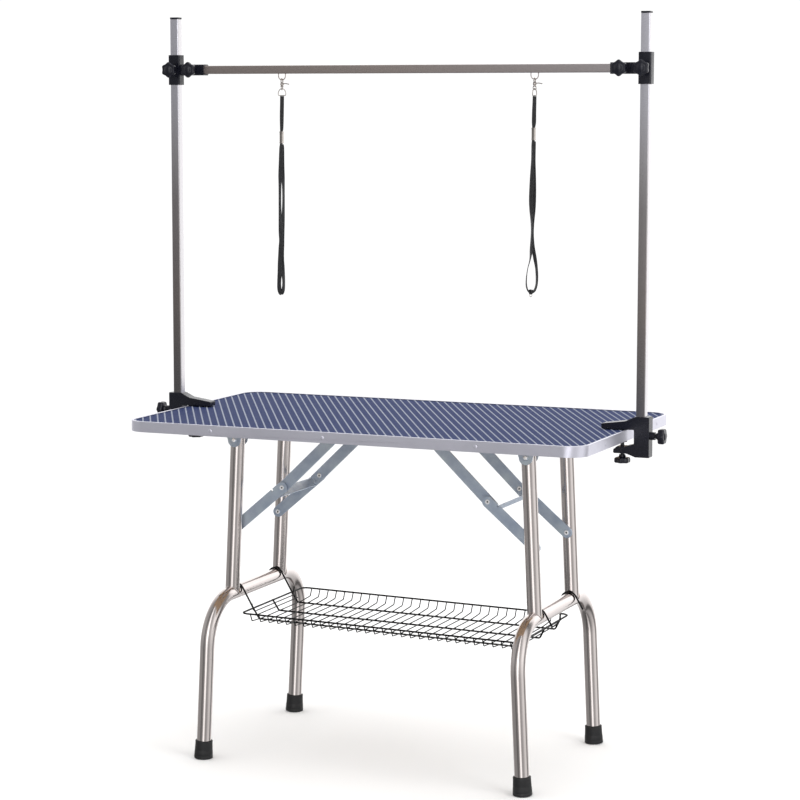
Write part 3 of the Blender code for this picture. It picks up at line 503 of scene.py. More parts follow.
LOOKS = {
    "plywood": plywood(),
    "blue_rubber": blue_rubber(),
    "trim_aluminium": steel("satin_aluminium", (0.66, 0.655, 0.74), 0.36, (1, 1, 40), 0.8),
    "zinc_steel": zinc(),
    "leg_steel": steel("satin_leg_steel", (0.60, 0.55, 0.535), 0.13, (30, 30, 1)),
    "mast_steel": mast_steel(),
    "bar_steel": bar_steel(),
    "bright_metal": steel("nickel", (0.52, 0.48, 0.45), 0.16, (10, 10, 10)),
    "rivet_steel": steel("bright_rivet", (0.80, 0.81, 0.83), 0.30, (10, 10, 10), 0.35),
    "black_plastic": plastic(),
    "black_rubber": black_rubber(),
    "coated_wire": coated_wire(),
    "black_webbing": webbing(),
}
SLOT_OF = {row["node"]: row["material_slot"] for row in frame["record"]["subparts"]}


# ---- noose straps: free-hanging cords ------------------------------------------------------
STRAP_THICKNESS = 0.0016
SLEEVE_STEPS, SLEEVE_WIDTH, SLEEVE_DEPTH, SLEEVE_CORNER = 12, 0.0082, 0.0070, 0.0016
SLEEVE_LIP, SLEEVE_CRIMP = 0.0006, 0.00018
KNOT_X, KNOT_Z, END_RING_PLACE = 0.3020, 1.0392, (0.3010, 0, 1.0316)


def strap_ring(width, thickness):
    """The webbing's cross-section: flat, with round edges."""
    half, edge = width / 2, thickness / 2
    side = arc((half - edge, 0), edge, -90, 90, 4)
    return side + [(-u, -v) for u, v in side]


def strap_piece(name, knots, run_body):
    """knots: (x, y, z, width, turn in degrees from facing the front), from the D-ring on."""
    xyz = smooth_path([k[:3] for k in knots])
    extra = smooth_path([(k[3], k[4], 0.0) for k in knots])
    rings = [strap_ring(e.x, STRAP_THICKNESS) for e in extra]
    turns = [math.radians(e.y) for e in extra]
    sides = [Vector((math.cos(t), math.sin(t), 0)) for t in turns]
    mesh = swept(xyz, lambda k: rings[k], lambda k: sides[k], name=name)
    run = [0.0]
    for one, other in zip(xyz, xyz[1:]):
        run.append(run[-1] + (other - one).length)
    layer = mesh.uv_layers.new(name="UVMap")
    count = len(rings[0])
    for loop in mesh.loops:
        k, j = divmod(loop.vertex_index, count)
        layer.data[loop.index].uv = (rings[k][j][0], run[k])
    strap = made(name, mesh, "black_webbing", run_body, [run_body + "_strap"], 60)
    return strap, xyz, run[-1]


# Down in front (y below 0), round the foot of the loop and back up behind (y above 0).
LEFT_KNOTS = [
    (-0.2885, 0.0, 1.4555, 0.0098, 0), (-0.2888, 0.0, 1.4400, 0.0098, 0),
    (-0.2895, 0.0, 1.4100, 0.0094, 8), (-0.2898, 0.0, 1.3850, 0.0080, 12),
    (-0.2900, -0.0010, 1.3760, 0.0062, 10), (-0.2900, -0.0012, 1.3640, 0.0062, 5),
    (-0.2902, -0.0015, 1.3520, 0.0064, 0), (-0.2904, -0.0024, 1.3400, 0.0094, -6),
    (-0.2912, -0.0026, 1.3100, 0.0098, 4), (-0.2922, -0.0026, 1.2850, 0.0094, 20),
    (-0.2932, -0.0030, 1.2600, 0.0080, 62), (-0.2936, -0.0030, 1.2200, 0.0080, 72),
    (-0.2930, -0.0030, 1.1800, 0.0088, 60), (-0.2922, -0.0028, 1.1560, 0.0094, 38),
    (-0.2914, -0.0026, 1.1340, 0.0096, 48), (-0.2926, -0.0028, 1.1160, 0.0098, 14),
    (-0.2944, -0.0028, 1.0900, 0.0098, 6), (-0.2950, -0.0028, 1.0650, 0.0098, 30),
    (-0.2966, -0.0026, 1.0420, 0.0098, 52), (-0.2962, -0.0020, 1.0260, 0.0098, 40),
    (-0.2930, 0.0000, 1.0170, 0.0096, 40), (-0.2893, 0.0020, 1.0240, 0.0092, 58),
    (-0.2878, 0.0026, 1.0420, 0.0090, 74), (-0.2896, 0.0028, 1.0650, 0.0092, 50),
    (-0.2918, 0.0030, 1.0900, 0.0098, 10), (-0.2918, 0.0030, 1.1160, 0.0098, 10),
    (-0.2908, 0.0028, 1.1340, 0.0094, 42), (-0.2906, 0.0030, 1.1560, 0.0094, 30),
    (-0.2892, 0.0032, 1.1800, 0.0088, 52), (-0.2878, 0.0034, 1.2200, 0.0080, 74),
    (-0.2880, 0.0034, 1.2600, 0.0080, 66), (-0.2896, 0.0030, 1.2850, 0.0094, 20),
    (-0.2898, 0.0028, 1.3100, 0.0098, 0), (-0.2898, 0.0026, 1.3400, 0.0092, 4),
    (-0.2900, 0.0022, 1.3490, 0.0080, 0),
]
RIGHT_KNOTS = [
    (0.3065, 0.0, 1.4555, 0.0086, 36), (0.3063, 0.0, 1.4420, 0.0090, 40),
    (0.3057, 0.0, 1.4200, 0.0092, 30), (0.3055, 0.0, 1.4000, 0.0092, 20),
    (0.3053, -0.0010, 1.3880, 0.0062, 12), (0.3053, -0.0012, 1.3760, 0.0062, 6),
    (0.3051, -0.0015, 1.3640, 0.0064, 0), (0.3047, -0.0026, 1.3500, 0.0092, -24),
    (0.3043, -0.0030, 1.3200, 0.0096, -30), (0.3031, -0.0030, 1.2900, 0.0098, -16),
    (0.3019, -0.0030, 1.2600, 0.0098, -6), (0.3013, -0.0030, 1.2350, 0.0098, -6),
    (0.3021, -0.0030, 1.2150, 0.0098, -14), (0.3031, -0.0028, 1.1930, 0.0098, -40),
    (0.3031, -0.0026, 1.1700, 0.0096, -56), (0.3033, -0.0028, 1.1480, 0.0098, -40),
    (0.3029, -0.0030, 1.1300, 0.0098, -28), (0.3001, -0.0034, 1.1080, 0.0096, -60),
    (0.2953, -0.0034, 1.0900, 0.0094, -70), (0.2923, -0.0030, 1.0700, 0.0092, -64),
    (0.2921, -0.0026, 1.0520, 0.0092, -56), (0.2963, -0.0016, 1.0400, 0.0090, -50),
    (0.3020, 0.0000, 1.0372, 0.0086, -40), (0.3085, 0.0016, 1.0410, 0.0090, -40),
    (0.3131, 0.0026, 1.0540, 0.0096, -44), (0.3139, 0.0030, 1.0720, 0.0098, -40),
    (0.3123, 0.0032, 1.0920, 0.0098, -36), (0.3087, 0.0034, 1.1120, 0.0098, -20),
    (0.3049, 0.0032, 1.1330, 0.0098, -24), (0.3039, 0.0030, 1.1500, 0.0098, -40),
    (0.3041, 0.0028, 1.1700, 0.0096, -52), (0.3041, 0.0030, 1.1930, 0.0098, -34),
    (0.3051, 0.0030, 1.2150, 0.0098, -10), (0.3057, 0.0030, 1.2350, 0.0098, 0),
    (0.3057, 0.0030, 1.2600, 0.0098, 4), (0.3055, 0.0030, 1.2900, 0.0096, -12),
    (0.3053, 0.0030, 1.3200, 0.0092, -28), (0.3051, 0.0028, 1.3500, 0.0090, -14),
    (0.3053, 0.0024, 1.3600, 0.0080, 0),
]


def bent_wire(points, radius):
    return round_wire(smooth_path(points), radius, 12)


def ring_mesh(centre, major, minor, axis, steps=36, sides=10):
    """A round ring whose hole looks along an axis, X or Y."""
    points = arc((0, 0), major, 0, 360 - 360 / steps, steps - 1)
    if axis == "X":
        path = [(centre[0], centre[1] + u, centre[2] + v) for u, v in points]
    else:
        path = [(centre[0] + u, centre[1], centre[2] + v) for u, v in points]
    return round_wire(path, minor, sides, closed=True)


def build_slider(side_name, x, drift, high, low):
    """A crimped metal sleeve round both runs, with a rolled edge at each end."""
    path, rings = [], []
    for k in range(SLEEVE_STEPS + 1):
        path.append((x + drift, 0.0, high - (high - low) * k / SLEEVE_STEPS))
        if k in (0, 1, SLEEVE_STEPS - 1, SLEEVE_STEPS):
            flare = SLEEVE_LIP
        else:
            flare = SLEEVE_CRIMP if k % 2 else 0.0
        rings.append(
            rounded_rectangle(SLEEVE_WIDTH + flare, SLEEVE_DEPTH + flare, SLEEVE_CORNER, 4)
        )
    mesh = swept(path, lambda k: rings[k], lambda k: Vector((1, 0, 0)))
    return made(side_name + "_slider_sleeve", mesh, "bright_metal", side_name + "_slider",
                [side_name + "_noose_slider"], 50)


def build_knot():
    """The lump of webbing where the right-hand loop is tied to its end ring."""
    path = []
    for k in range(61):
        t = 2 * math.pi * k / 20
        reach = 0.0038 + 0.0010 * math.sin(3 * t + 0.6)
        path.append((
            KNOT_X + reach * math.cos(t), 0.0030 * math.sin(t * 1.35 + 0.4),
            KNOT_Z + reach * 0.85 * math.sin(t),
        ))
    mesh = round_wire(path, 0.0019, 10)
    return made("right_noose_knot", mesh, "black_webbing", "right_noose")


def build_cords():
    """Both nooses; the numbers are each sleeve's sideways drift, top and bottom."""
    cords = (
        ("left", LEFT_KNOTS, -0.0014, 1.3776, 1.3515),
        ("right", RIGHT_KNOTS, -0.0013, 1.3890, 1.3625),
    )
    for side_name, knots, drift, high, low in cords:
        x = NOOSE_X[side_name]
        noose = side_name + "_noose"
        strap, path, length = strap_piece(noose + "_webbing", knots, noose)
        with_pieces = [build_slider(side_name, x, drift, high, low)]
        if side_name == "right":
            with_pieces.append(build_knot())
            ring = ring_mesh(END_RING_PLACE, 0.0030, 0.0007, "Y", 28, 8)
            with_pieces.append(
                made("right_bright_ring", ring, "bright_metal", noose, ["right_end_ring"])
            )


build_cords()


# ---- snap hooks and D-rings ----------------------------------------------------------------
def build_snap(side_name, x, under_axis):
    """A trigger snap: eye, turned swivel body, thumb lever and lower eye; returns its foot."""
    eye_z = LOOP_Z - 0.0020
    body_high, body_low = eye_z - 0.0040, eye_z - 0.0135
    eye = ring_mesh((x, 0, eye_z), 0.0048, 0.0013, "X")
    profile = [
        (0.0, body_high + 0.0006), (0.0030, body_high + 0.0004), (0.0040, body_high - 0.0006),
        (0.0034, body_high - 0.0018), (0.0038, body_high - 0.0026), (0.0042, body_high - 0.0040),
        (0.0038, body_high - 0.0056), (0.0026, body_high - 0.0066), (0.0028, body_low + 0.0018),
        (0.0042, body_low + 0.0010), (0.0036, body_low), (0.0, body_low - 0.0002),
    ]
    body = lathe(profile, 24, Matrix.Translation((x, 0, 0)))
    lever_z = body_high - 0.0030
    lever = bent_wire(
        [(x, 0, lever_z), (x + 0.004, 0, lever_z + 0.0006), (x + 0.009, 0, lever_z + 0.0010),
         (x + 0.013, 0, lever_z + 0.0002), (x + 0.0162, 0, lever_z - 0.0002)], 0.0010
    )
    tip = lathe(
        [(0.0, -0.0014), (0.0010, -0.0011), (0.0015, 0.0), (0.0010, 0.0011), (0.0, 0.0014)],
        16, Matrix.Translation((x + 0.0162, 0, lever_z - 0.0002)),
    )
    under = ring_mesh((x, 0, body_low - 0.0027), 0.0036, 0.0010, under_axis)
    mesh = joined("snap", [eye, body, lever, tip, under])
    made(side_name + "_trigger_snap", mesh, "bright_metal", side_name + "_noose",
         [side_name + "_snap_hook"])
    return body_low - 0.0037


def build_d_ring(side_name, x, top, half, degrees):
    """A D of wire, half as wide as said and turned by degrees from facing the front."""
    low = STRAP_TOP + 0.0014
    rise = arc((0, 0), 1.0, 0, 180, 12)
    outline = [(half * u, low + 0.0045 + (top - low - 0.0045) * v) for u, v in rise]
    corners = [(-half, low + 0.0015), (-half + 0.0015, low),
               (half - 0.0015, low), (half, low + 0.0015)]
    turn = math.radians(degrees)
    path = [(x + u * math.cos(turn), u * math.sin(turn), v) for u, v in outline + corners]
    mesh = round_wire(path, 0.0011, 12, closed=True)
    made(side_name + "_d_ring_wire", mesh, "bright_metal", side_name + "_noose",
         [side_name + "_d_ring"])


for side_name, axis, half, degrees in (("left", "X", 0.0085, 12), ("right", "Y", 0.0070, 72)):
    ring_top = build_snap(side_name, NOOSE_X[side_name], axis)
    build_d_ring(side_name, NOOSE_X[side_name], ring_top, half, degrees)


# ---- table top -----------------------------------------------------------------------------
RIB_PITCH, RIB_ANGLE = 0.0162, math.radians(119.4)
RIB_HALF, RIB_SLOPE, RIB_RISE = 0.0013, 0.0007, 0.0006
MAT_GAP, MAT_TOP_Z, MAT_UNDER_Z, MAT_HALF_DIAGONAL = 0.0003, 0.7521, 0.7499, 0.62


def build_mat():
    """The rubber top with its diagonal ribs standing up as geometry."""
    inset = TRIM_WALL + MAT_GAP
    outline = rounded_rectangle(
        TABLE_LENGTH - 2 * inset, TABLE_WIDTH - 2 * inset, TABLE_CORNER - inset, 10
    )
    shape = bmesh.new()
    shape.faces.new([shape.verts.new((x, y, MAT_TOP_Z)) for x, y in outline])
    across = Vector((-math.sin(RIB_ANGLE), math.cos(RIB_ANGLE), 0))
    reach = int(MAT_HALF_DIAGONAL / RIB_PITCH) + 1
    for k in range(-reach, reach + 1):
        middle = k * RIB_PITCH
        for offset in (-RIB_HALF - RIB_SLOPE, -RIB_HALF, RIB_HALF, RIB_HALF + RIB_SLOPE):
            bmesh.ops.bisect_plane(
                shape, geom=shape.verts[:] + shape.edges[:] + shape.faces[:],
                plane_co=across * (middle + offset), plane_no=across, dist=1e-7,
            )
    # Rib crests are marked here for the painted highlight that the material puts on them.
    rib = shape.verts.layers.float.new("rib")
    for spot in shape.verts:
        along = spot.co.dot(across) / RIB_PITCH
        off = abs(along - round(along)) * RIB_PITCH
        if off < RIB_HALF + 1e-5:
            spot.co.z += RIB_RISE
            spot[rib] = 1.0
    edges = [e for e in shape.edges if e.is_boundary]
    skirt = bmesh.ops.extrude_edge_only(shape, edges=edges)
    low = [v for v in skirt["geom"] if isinstance(v, bmesh.types.BMVert)]
    for spot in low:
        spot.co.z = MAT_UNDER_Z
        spot[rib] = 0.0
    bmesh.ops.contextual_create(shape, geom=[e for e in shape.edges if e.is_boundary])
    bmesh.ops.recalc_face_normals(shape, faces=shape.faces)
    mesh = bpy.data.meshes.new("mat")
    shape.to_mesh(mesh)
    shape.free()
    made("ribbed_mat", mesh, "blue_rubber", "root", ["rubber_mat"], 20)


build_mat()


# ---- legs ----------------------------------------------------------------------------------
TUBE_STEPS = 40
UPRIGHT_TOP, UPRIGHT_STEP, UPRIGHT_STATIONS, FOOT_SOLE = -0.0110, 0.0177, 21, 0.0063
BEAD_OFF, BEAD_RADIUS, BEAD_STEPS = 0.0004, 0.0011, 48


def leg_point(side, y, down, off=0.0):
    """A point on a leg: down from the pivot along the leg, and off it towards the middle."""
    x = LEG_PIVOT_X + down * math.sin(LEG_SPLAY) - off * math.cos(LEG_SPLAY)
    z = LEG_PIVOT_Z - down * math.cos(LEG_SPLAY) - off * math.sin(LEG_SPLAY)
    return Vector((side * x, y, z))


def build_upright(side_name, side, end_name, end):
    """A leg tube with its rolled upper edge and the weld bead at the cross tube."""
    corner = side_name + "_" + end_name
    y = end * UPRIGHT_Y
    stations = [(-0.0140, TUBE_RADIUS - 0.0009), (-0.0134, TUBE_RADIUS - 0.0002)]
    stations += [(UPRIGHT_TOP + UPRIGHT_STEP * k, TUBE_RADIUS) for k in range(UPRIGHT_STATIONS)]
    path = [leg_point(side, y, down) for down, r in stations]
    rings = [circle(r, TUBE_STEPS) for down, r in stations]
    tube = swept(path, lambda k: rings[k], lambda k: Vector((0, 1, 0)))
    bead = []
    reach = TUBE_RADIUS + BEAD_OFF
    for off, out in circle(reach, BEAD_STEPS):
        rise = math.sqrt(max(0.0, reach * reach - off * off))
        bead.append(leg_point(side, y + out, CROSS_TUBE_DOWN - rise, off))
    weld = round_wire(bead, BEAD_RADIUS, 8, closed=True)
    mesh = joined("upright", [tube, weld])
    made(corner + "_leg_tube", mesh, "leg_steel", side_name + "_leg", [corner + "_upright"])


def build_foot_frame(side_name, side):
    """The inverted U: two feet bent into the cross tube."""
    tip = FOOT_END_DOWN - FOOT_SOLE
    bend = (FOOT_Y - FOOT_BEND, CROSS_TUBE_DOWN + FOOT_BEND)
    half = [(FOOT_Y, tip), (FOOT_Y, tip - 0.08), (FOOT_Y, tip - 0.16)]
    half += [(y, d) for y, d in arc(bend, FOOT_BEND, 0, -90, 14)]
    half += [(0.07, CROSS_TUBE_DOWN), (0.0, CROSS_TUBE_DOWN)]
    path = [leg_point(side, -y, d) for y, d in half]
    path += [leg_point(side, y, d) for y, d in reversed(half[:-1])]
    ring = circle(TUBE_RADIUS, TUBE_STEPS)
    across = Vector((math.cos(LEG_SPLAY), 0, side * math.sin(LEG_SPLAY)))
    mesh = swept(path, lambda k: ring, lambda k: across)
    made(side_name + "_foot_tube", mesh, "leg_steel", side_name + "_leg",
         [side_name + "_foot_frame"])


def build_rubber_foot(side_name, side, end_name, end):
    """A push-on ferrule: two rings, a rolled lip at the top and a treaded sole."""
    profile = [
        (0.0, 0.0014), (0.0120, 0.0014), (0.0130, 0.0), (0.0196, 0.0), (0.0206, 0.0008),
        (0.0209, 0.0022), (0.0207, 0.0060), (0.0200, 0.0072), (0.0206, 0.0084),
        (0.0200, 0.0180), (0.0193, 0.0192), (0.0197, 0.0204), (0.0190, 0.0360),
        (0.0193, 0.0375), (0.0190, 0.0392), (0.0180, 0.0400), (0.0166, 0.0394),
        (0.0164, 0.0380), (0.0164, 0.0080), (0.0, 0.0080),
    ]
    base = leg_point(side, end * FOOT_Y, FOOT_END_DOWN)
    place = Matrix.Translation(base) @ Matrix.Rotation(-side * LEG_SPLAY, 4, "Y")
    corner = side_name + "_" + end_name
    made(corner + "_ferrule", lathe(profile, 48, place), "black_rubber", side_name + "_leg",
         [corner + "_rubber_foot"], 50)


for side_name, side in SIDES.items():
    build_foot_frame(side_name, side)
    for end_name, end in ENDS.items():
        build_upright(side_name, side, end_name, end)
        build_rubber_foot(side_name, side, end_name, end)


# ---- rivets --------------------------------------------------------------------------------
BRACE_ELBOW, BRACE_FOOT = (0.24388, 0.59472), (0.3524, 0.5030)
UPPER_LINK_Y, LOWER_LINK_Y, LINK_THICKNESS = 0.0955, 0.1018, 0.003
# How far the rivets' heads stand off their links, and a pin's off the tube through its bracket.
ELBOW_HEAD, FOOT_HEAD = 0.0016, 0.0018
BRACKET_GAP, BRACKET_WALL, PIN_HEAD = 0.0006, 0.0025, 0.0018
# Outlines of (radius, height).
RIVET_HEAD = [(0.0, 0.0002), (0.0021, 0.0002), (0.0026, 0.0006), (0.0044, 0.0006),
              (0.0052, 0.0), (0.0, -0.0004)]
# Painted shade: a black disc standing in for the shade inside each rivet's hollow.
RIVET_HOLE_PAINTED_SHADE = [(0.0, 0.0004), (0.0018, 0.0004), (0.0020, 0.0), (0.0, -0.0002)]
PIVOT_BUTTON = [(0.0, 0.0010), (0.0018, 0.0009), (0.0034, 0.0004), (0.0042, 0.0), (0.0, -0.0004)]


def facing(x, y, z, out):
    """A place whose Z axis points along Y, outwards by out's sign."""
    return Matrix.Translation((x, y, z)) @ Matrix.Rotation(-out * math.pi / 2, 4, "X")


def build_link_rivets(side_name, side):
    """Rolled rivet heads with their sunk middles, black discs in them as painted shade, at the
    elbow and the foot of each link.
    """
    half = LINK_THICKNESS / 2
    elbow_x, elbow_z = side * BRACE_ELBOW[0], BRACE_ELBOW[1]
    foot_x, foot_z = side * BRACE_FOOT[0], BRACE_FOOT[1]
    heads = {"lower_links": [], "upper_links": []}
    for end in ENDS.values():
        elbow_out = end * (LOWER_LINK_Y + half)
        elbow_in = end * (UPPER_LINK_Y - half - ELBOW_HEAD)
        foot_in = end * (LOWER_LINK_Y - half - FOOT_HEAD)
        heads["lower_links"].append(facing(elbow_x, elbow_out, elbow_z, end))
        heads["upper_links"].append(facing(elbow_x, elbow_in, elbow_z, -end))
        heads["lower_links"].append(facing(foot_x, foot_in, foot_z, -end))
    for kind, places in heads.items():
        body = side_name + "_" + kind
        rings = joined("heads", [lathe(RIVET_HEAD, 24, place) for place in places])
        made(body + "_rivet_heads", rings, "bright_metal", body, (), 30, "rivet_steel")
        # Painted shade: black discs in the rivets' middles.
        painted_hole_shades = joined("painted_hole_shades", [lathe(RIVET_HOLE_PAINTED_SHADE, 16, place) for place in places])
        made(body + "_rivet_hole_painted_shade", painted_hole_shades, "black_plastic", body, (), 30)


def build_pivot_buttons():
    """The bright domed ends of the pins that the legs fold on."""
    reach = TUBE_RADIUS + BRACKET_GAP + BRACKET_WALL + PIN_HEAD
    buttons = []
    for side in SIDES.values():
        for end in ENDS.values():
            for out in (-1, 1):
                place = facing(side * LEG_PIVOT_X, end * UPRIGHT_Y + out * reach, LEG_PIVOT_Z, out)
                buttons.append(lathe(PIVOT_BUTTON, 24, place))
    made("leg_pivot_buttons", joined("buttons", buttons), "bright_metal", "root", (), 60,
         "rivet_steel")


for side_name, side in SIDES.items():
    build_link_rivets(side_name, side)
build_pivot_buttons()


# ---- star knobs ----------------------------------------------------------------------------
KNOB_RADIUS, KNOB_LOBE, KNOB_LOBES = 0.0162, 0.0013, 6
# Where a knob's plastic starts: from the tube's axis, from the table's middle, from the floor.
STAR_OUT, LOCK_STAR_X, SCREW_STAR_Z = 0.0260, 0.5868, 0.6995
STUD_GAP, LOCK_STUD_GAP, PAD_GAP = 0.0005, 0.0012, 0.0003
STUD_RADIUS, SHANK_RADIUS = 0.003, 0.004


def lobed(r, turn):
    """The star's outline: lobes that grow towards the rim."""
    weight = min(1.0, max(0.0, (r - 0.0075) / (KNOB_RADIUS - 0.0095)))
    wave = math.cos(KNOB_LOBES * (turn - math.pi / 6))
    return r + KNOB_LOBE * weight * (wave - 0.2 * (1 - wave * wave))


def build_knob(name, body, node, stem_radius, stem, neck, thickness, dome, place):
    """A star knob on its stem, which starts at the place and runs up its Z axis."""
    low = stem + neck
    high = low + thickness
    profile = [
        (0.0, high + dome), (0.0030, high + dome * 0.96), (0.0055, high + dome * 0.75),
        (0.0078, high + dome * 0.36), (0.0092, high + 0.0001), (0.0112, high - 0.0004),
        (0.0138, high - 0.0001), (KNOB_RADIUS - 0.0014, high - 0.0005),
        (KNOB_RADIUS - 0.0004, high - 0.0014), (KNOB_RADIUS, high - 0.0030),
        (KNOB_RADIUS + 0.0001, low + thickness * 0.45), (KNOB_RADIUS - 0.0004, low + 0.0016),
        (KNOB_RADIUS - 0.0014, low + 0.0005), (KNOB_RADIUS - 0.0030, low), (0.0105, low + 0.0006),
        (0.0085, low - 0.0002), (0.0074, low - neck * 0.5), (0.0065, stem),
        (stem_radius, stem), (stem_radius, 0.0), (0.0, 0.0),
    ]
    mesh = lathe(list(reversed(profile)), 72, place, lobed)
    made(name, mesh, "black_plastic", body, [node], 55)


def build_knobs(side_name, side):
    """The mast and bar knobs, the mast's lock knob and the clamp screw's knob of one side."""
    for kind, x, tube in (("mast", MAST_X, MAST_SIZE), ("bar", BAR_KNOB_X, BAR_SIZE)):
        start = -(tube / 2 + STUD_GAP)
        place = Matrix.Translation((side * x, start, BAR_Z)) @ Matrix.Rotation(math.pi / 2, 4, "X")
        node = f"{side_name}_{kind}_knob"
        build_knob(node + "_star", node, node, STUD_RADIUS, STAR_OUT + start, 0.0030, 0.0115,
                   0.0035, place)
    start = side * (MAST_X + MAST_SIZE / 2 + LOCK_STUD_GAP)
    place = Matrix.Translation((start, 0, LOCK_KNOB_Z))
    place = place @ Matrix.Rotation(side * math.pi / 2, 4, "Y")
    build_knob(side_name + "_lock_star", side_name + "_lock_knob", side_name + "_mast_lock_knob",
               SHANK_RADIUS, LOCK_STAR_X - abs(start), 0.0045, 0.0140, 0.0020, place)
    pad_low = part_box(side_name + "_clamp_pad")[0].z
    top = pad_low - PAD_GAP
    place = Matrix.Translation((side * SCREW_X, 0, top)) @ Matrix.Rotation(math.pi, 4, "X")
    build_knob(side_name + "_screw_star", side_name + "_screw", side_name + "_clamp_screw",
               SHANK_RADIUS, top - SCREW_STAR_Z, 0.0065, 0.0115, 0.0010, place)


for side_name, side in SIDES.items():
    build_knobs(side_name, side)


# ---- wire basket ---------------------------------------------------------------------------
def basket_corner(side_name):
    """Floor corner and rim corner of one end, as distance out from the centre and height."""
    fall = BASKET_TILT * SIDES[side_name]
    floor_x, rim_x = BASKET_FLOOR_X[side_name], BASKET_RIM_X[side_name]
    floor = Vector((floor_x, BASKET_FLOOR_Z - fall * floor_x))
    return floor, Vector((rim_x, BASKET_RIM_Z - fall * rim_x))


def hook_end(side_name):
    """One end of a carrier wire: up from the floor, past the rim, over the cross tube."""
    centre = leg_point(1, 0, CROSS_TUBE_DOWN)
    centre = Vector((centre.x, centre.z))
    radius = TUBE_RADIUS + RIM_WIRE + 0.0003
    floor, rim = basket_corner(side_name)
    away = centre - rim
    heading = math.degrees(math.atan2(away.y, away.x) + math.asin(radius / away.length))
    over = arc(centre, radius, heading + 90, HOOK_LEAVES, 14)
    down = math.radians(HOOK_LEAVES - 90)
    tip = (over[-1][0] + HOOK_TIP * math.cos(down), over[-1][1] + HOOK_TIP * math.sin(down))
    return [tuple(floor), tuple(rim)] + over + [tip]


def across_basket(y, ends):
    """One long wire, from its left end's line to its right end's."""
    left = [(-x, y, z) for x, z in reversed(ends["left"])]
    return left + [(x, y, z) for x, z in ends["right"]]


def end_wires(side_name):
    """Short wires across a sloping end, and the stubs beside the two carriers."""
    side = SIDES[side_name]
    floor, rim = basket_corner(side_name)
    slope = (rim - floor).normalized()
    above = Vector((-slope.y, slope.x)) * (RIM_WIRE + CROSS_WIRE - 0.0007)
    wires = []
    for share in END_WIRES:
        spot, reach = floor.lerp(rim, share) + above, CARRIER_Y + 0.006
        wires.append([(side * spot.x, -reach, spot.y), (side * spot.x, reach, spot.y)])
    for end in ENDS.values():
        x = side * (rim.x - 0.0015)
        wires.append([(x, end * (CARRIER_Y + 0.0026), rim.y - 0.004),
                      (x, end * (CARRIER_Y + 0.0090), rim.y + STUB_LENGTH)])
    return wires


def cross_section():
    """One cross wire: down the wall, round a small bend and in to the level floor."""
    floor_z = BASKET_FLOOR_Z + RIM_WIRE + CROSS_WIRE - 0.0005
    half = [(BASKET_HALF_WIDTH + 0.0008, BASKET_RIM_Z + 0.0012),
            (BASKET_HALF_WIDTH - 0.0086, floor_z + 0.003), (CARRIER_Y + 0.004, floor_z)]
    return [(-y, z) for y, z in half] + [(y, z) for y, z in reversed(half)]


WELD_BLOB = [(0.0, -0.0017), (0.0018, -0.0013), (0.0027, 0.0), (0.0018, 0.0013), (0.0, 0.0017)]
END_BLOB = [(r * 1.25, z * 1.5) for r, z in WELD_BLOB]


def build_basket():
    """Every wire bent from its own line, with weld blobs where they cross."""
    hooks = {side_name: hook_end(side_name) for side_name in SIDES}
    ends = {side_name: basket_corner(side_name) for side_name in SIDES}
    middle = (BASKET_RIM_X["right"] - BASKET_RIM_X["left"]) / 2
    length = BASKET_RIM_X["right"] + BASKET_RIM_X["left"]
    rim = rounded_rectangle(length, 2 * BASKET_HALF_WIDTH, BASKET_CORNER, 8)
    rim = [(x + middle, y, BASKET_RIM_Z - BASKET_TILT * (x + middle)) for x, y in rim]
    wires = [round_wire(rim, RIM_WIRE, 12, True)]
    for y, line in ((-CARRIER_Y, hooks), (CARRIER_Y, hooks), (0.0, ends)):
        wires.append(round_wire(filleted(across_basket(y, line), 0.004), RIM_WIRE, 12))
    section = cross_section()
    blobs = []
    for k in range(CROSS_WIRES):
        x = FIRST_CROSS_X + k * CROSS_PITCH
        path = [(x, y, z - BASKET_TILT * x) for y, z in section]
        wires.append(round_wire(filleted(path, 0.0025), CROSS_WIRE, 8))
        weld_z = BASKET_FLOOR_Z - BASKET_TILT * x + RIM_WIRE - 0.0002
        for y in (-CARRIER_Y, 0, CARRIER_Y):
            blobs.append(lathe(WELD_BLOB, 8, Matrix.Translation((x, y, weld_z))))
    for side_name, side in SIDES.items():
        wires += [round_wire(path, CROSS_WIRE, 8) for path in end_wires(side_name)]
        rim_spot = basket_corner(side_name)[1]
        for y in (-CARRIER_Y - 0.0014, 0, CARRIER_Y + 0.0014):
            place = Matrix.Translation((side * rim_spot.x, y, rim_spot.y))
            blobs.append(lathe(END_BLOB, 8, place))
    made("basket_wires", joined("basket", wires + blobs), "coated_wire", "basket",
         ["wire_basket"], 60)


build_basket()


# ---- the solids that stay: softened edges and real surfaces --------------------------------
EDGE = {"black_plastic": 0.0009, "trim_aluminium": 0.0004, "zinc_steel": 0.0005,
        "mast_steel": 0.0006, "black_rubber": 0.0005, "plywood": 0.0005}
WELD_DISTANCE, BEVEL_ANGLE = 0.00001, math.radians(38)


def finish_solids():
    """Each solid gets its slot's look, and finer edges where its slot is in EDGE."""
    for name, thing in NODES.items():
        slot = SLOT_OF[name]
        thing.data.materials.clear()
        thing.data.materials.append(LOOKS["bar_steel" if name == "crossbar" else slot])
        for face in thing.data.polygons:
            face.use_smooth = True
        weld = thing.modifiers.new("weld", "WELD")
        weld.merge_threshold = WELD_DISTANCE
        if slot in EDGE:
            bevel = thing.modifiers.new("edges", "BEVEL")
            bevel.width = EDGE[slot]
            bevel.segments = 2
            bevel.limit_method = "ANGLE"
            bevel.angle_limit = BEVEL_ANGLE
            flat = thing.modifiers.new("flat_faces", "WEIGHTED_NORMAL")
            flat.mode = "FACE_AREA"
            flat.weight = 100


finish_solids()


# ---- floor and light -----------------------------------------------------------------------
FLOOR_REACH = 9


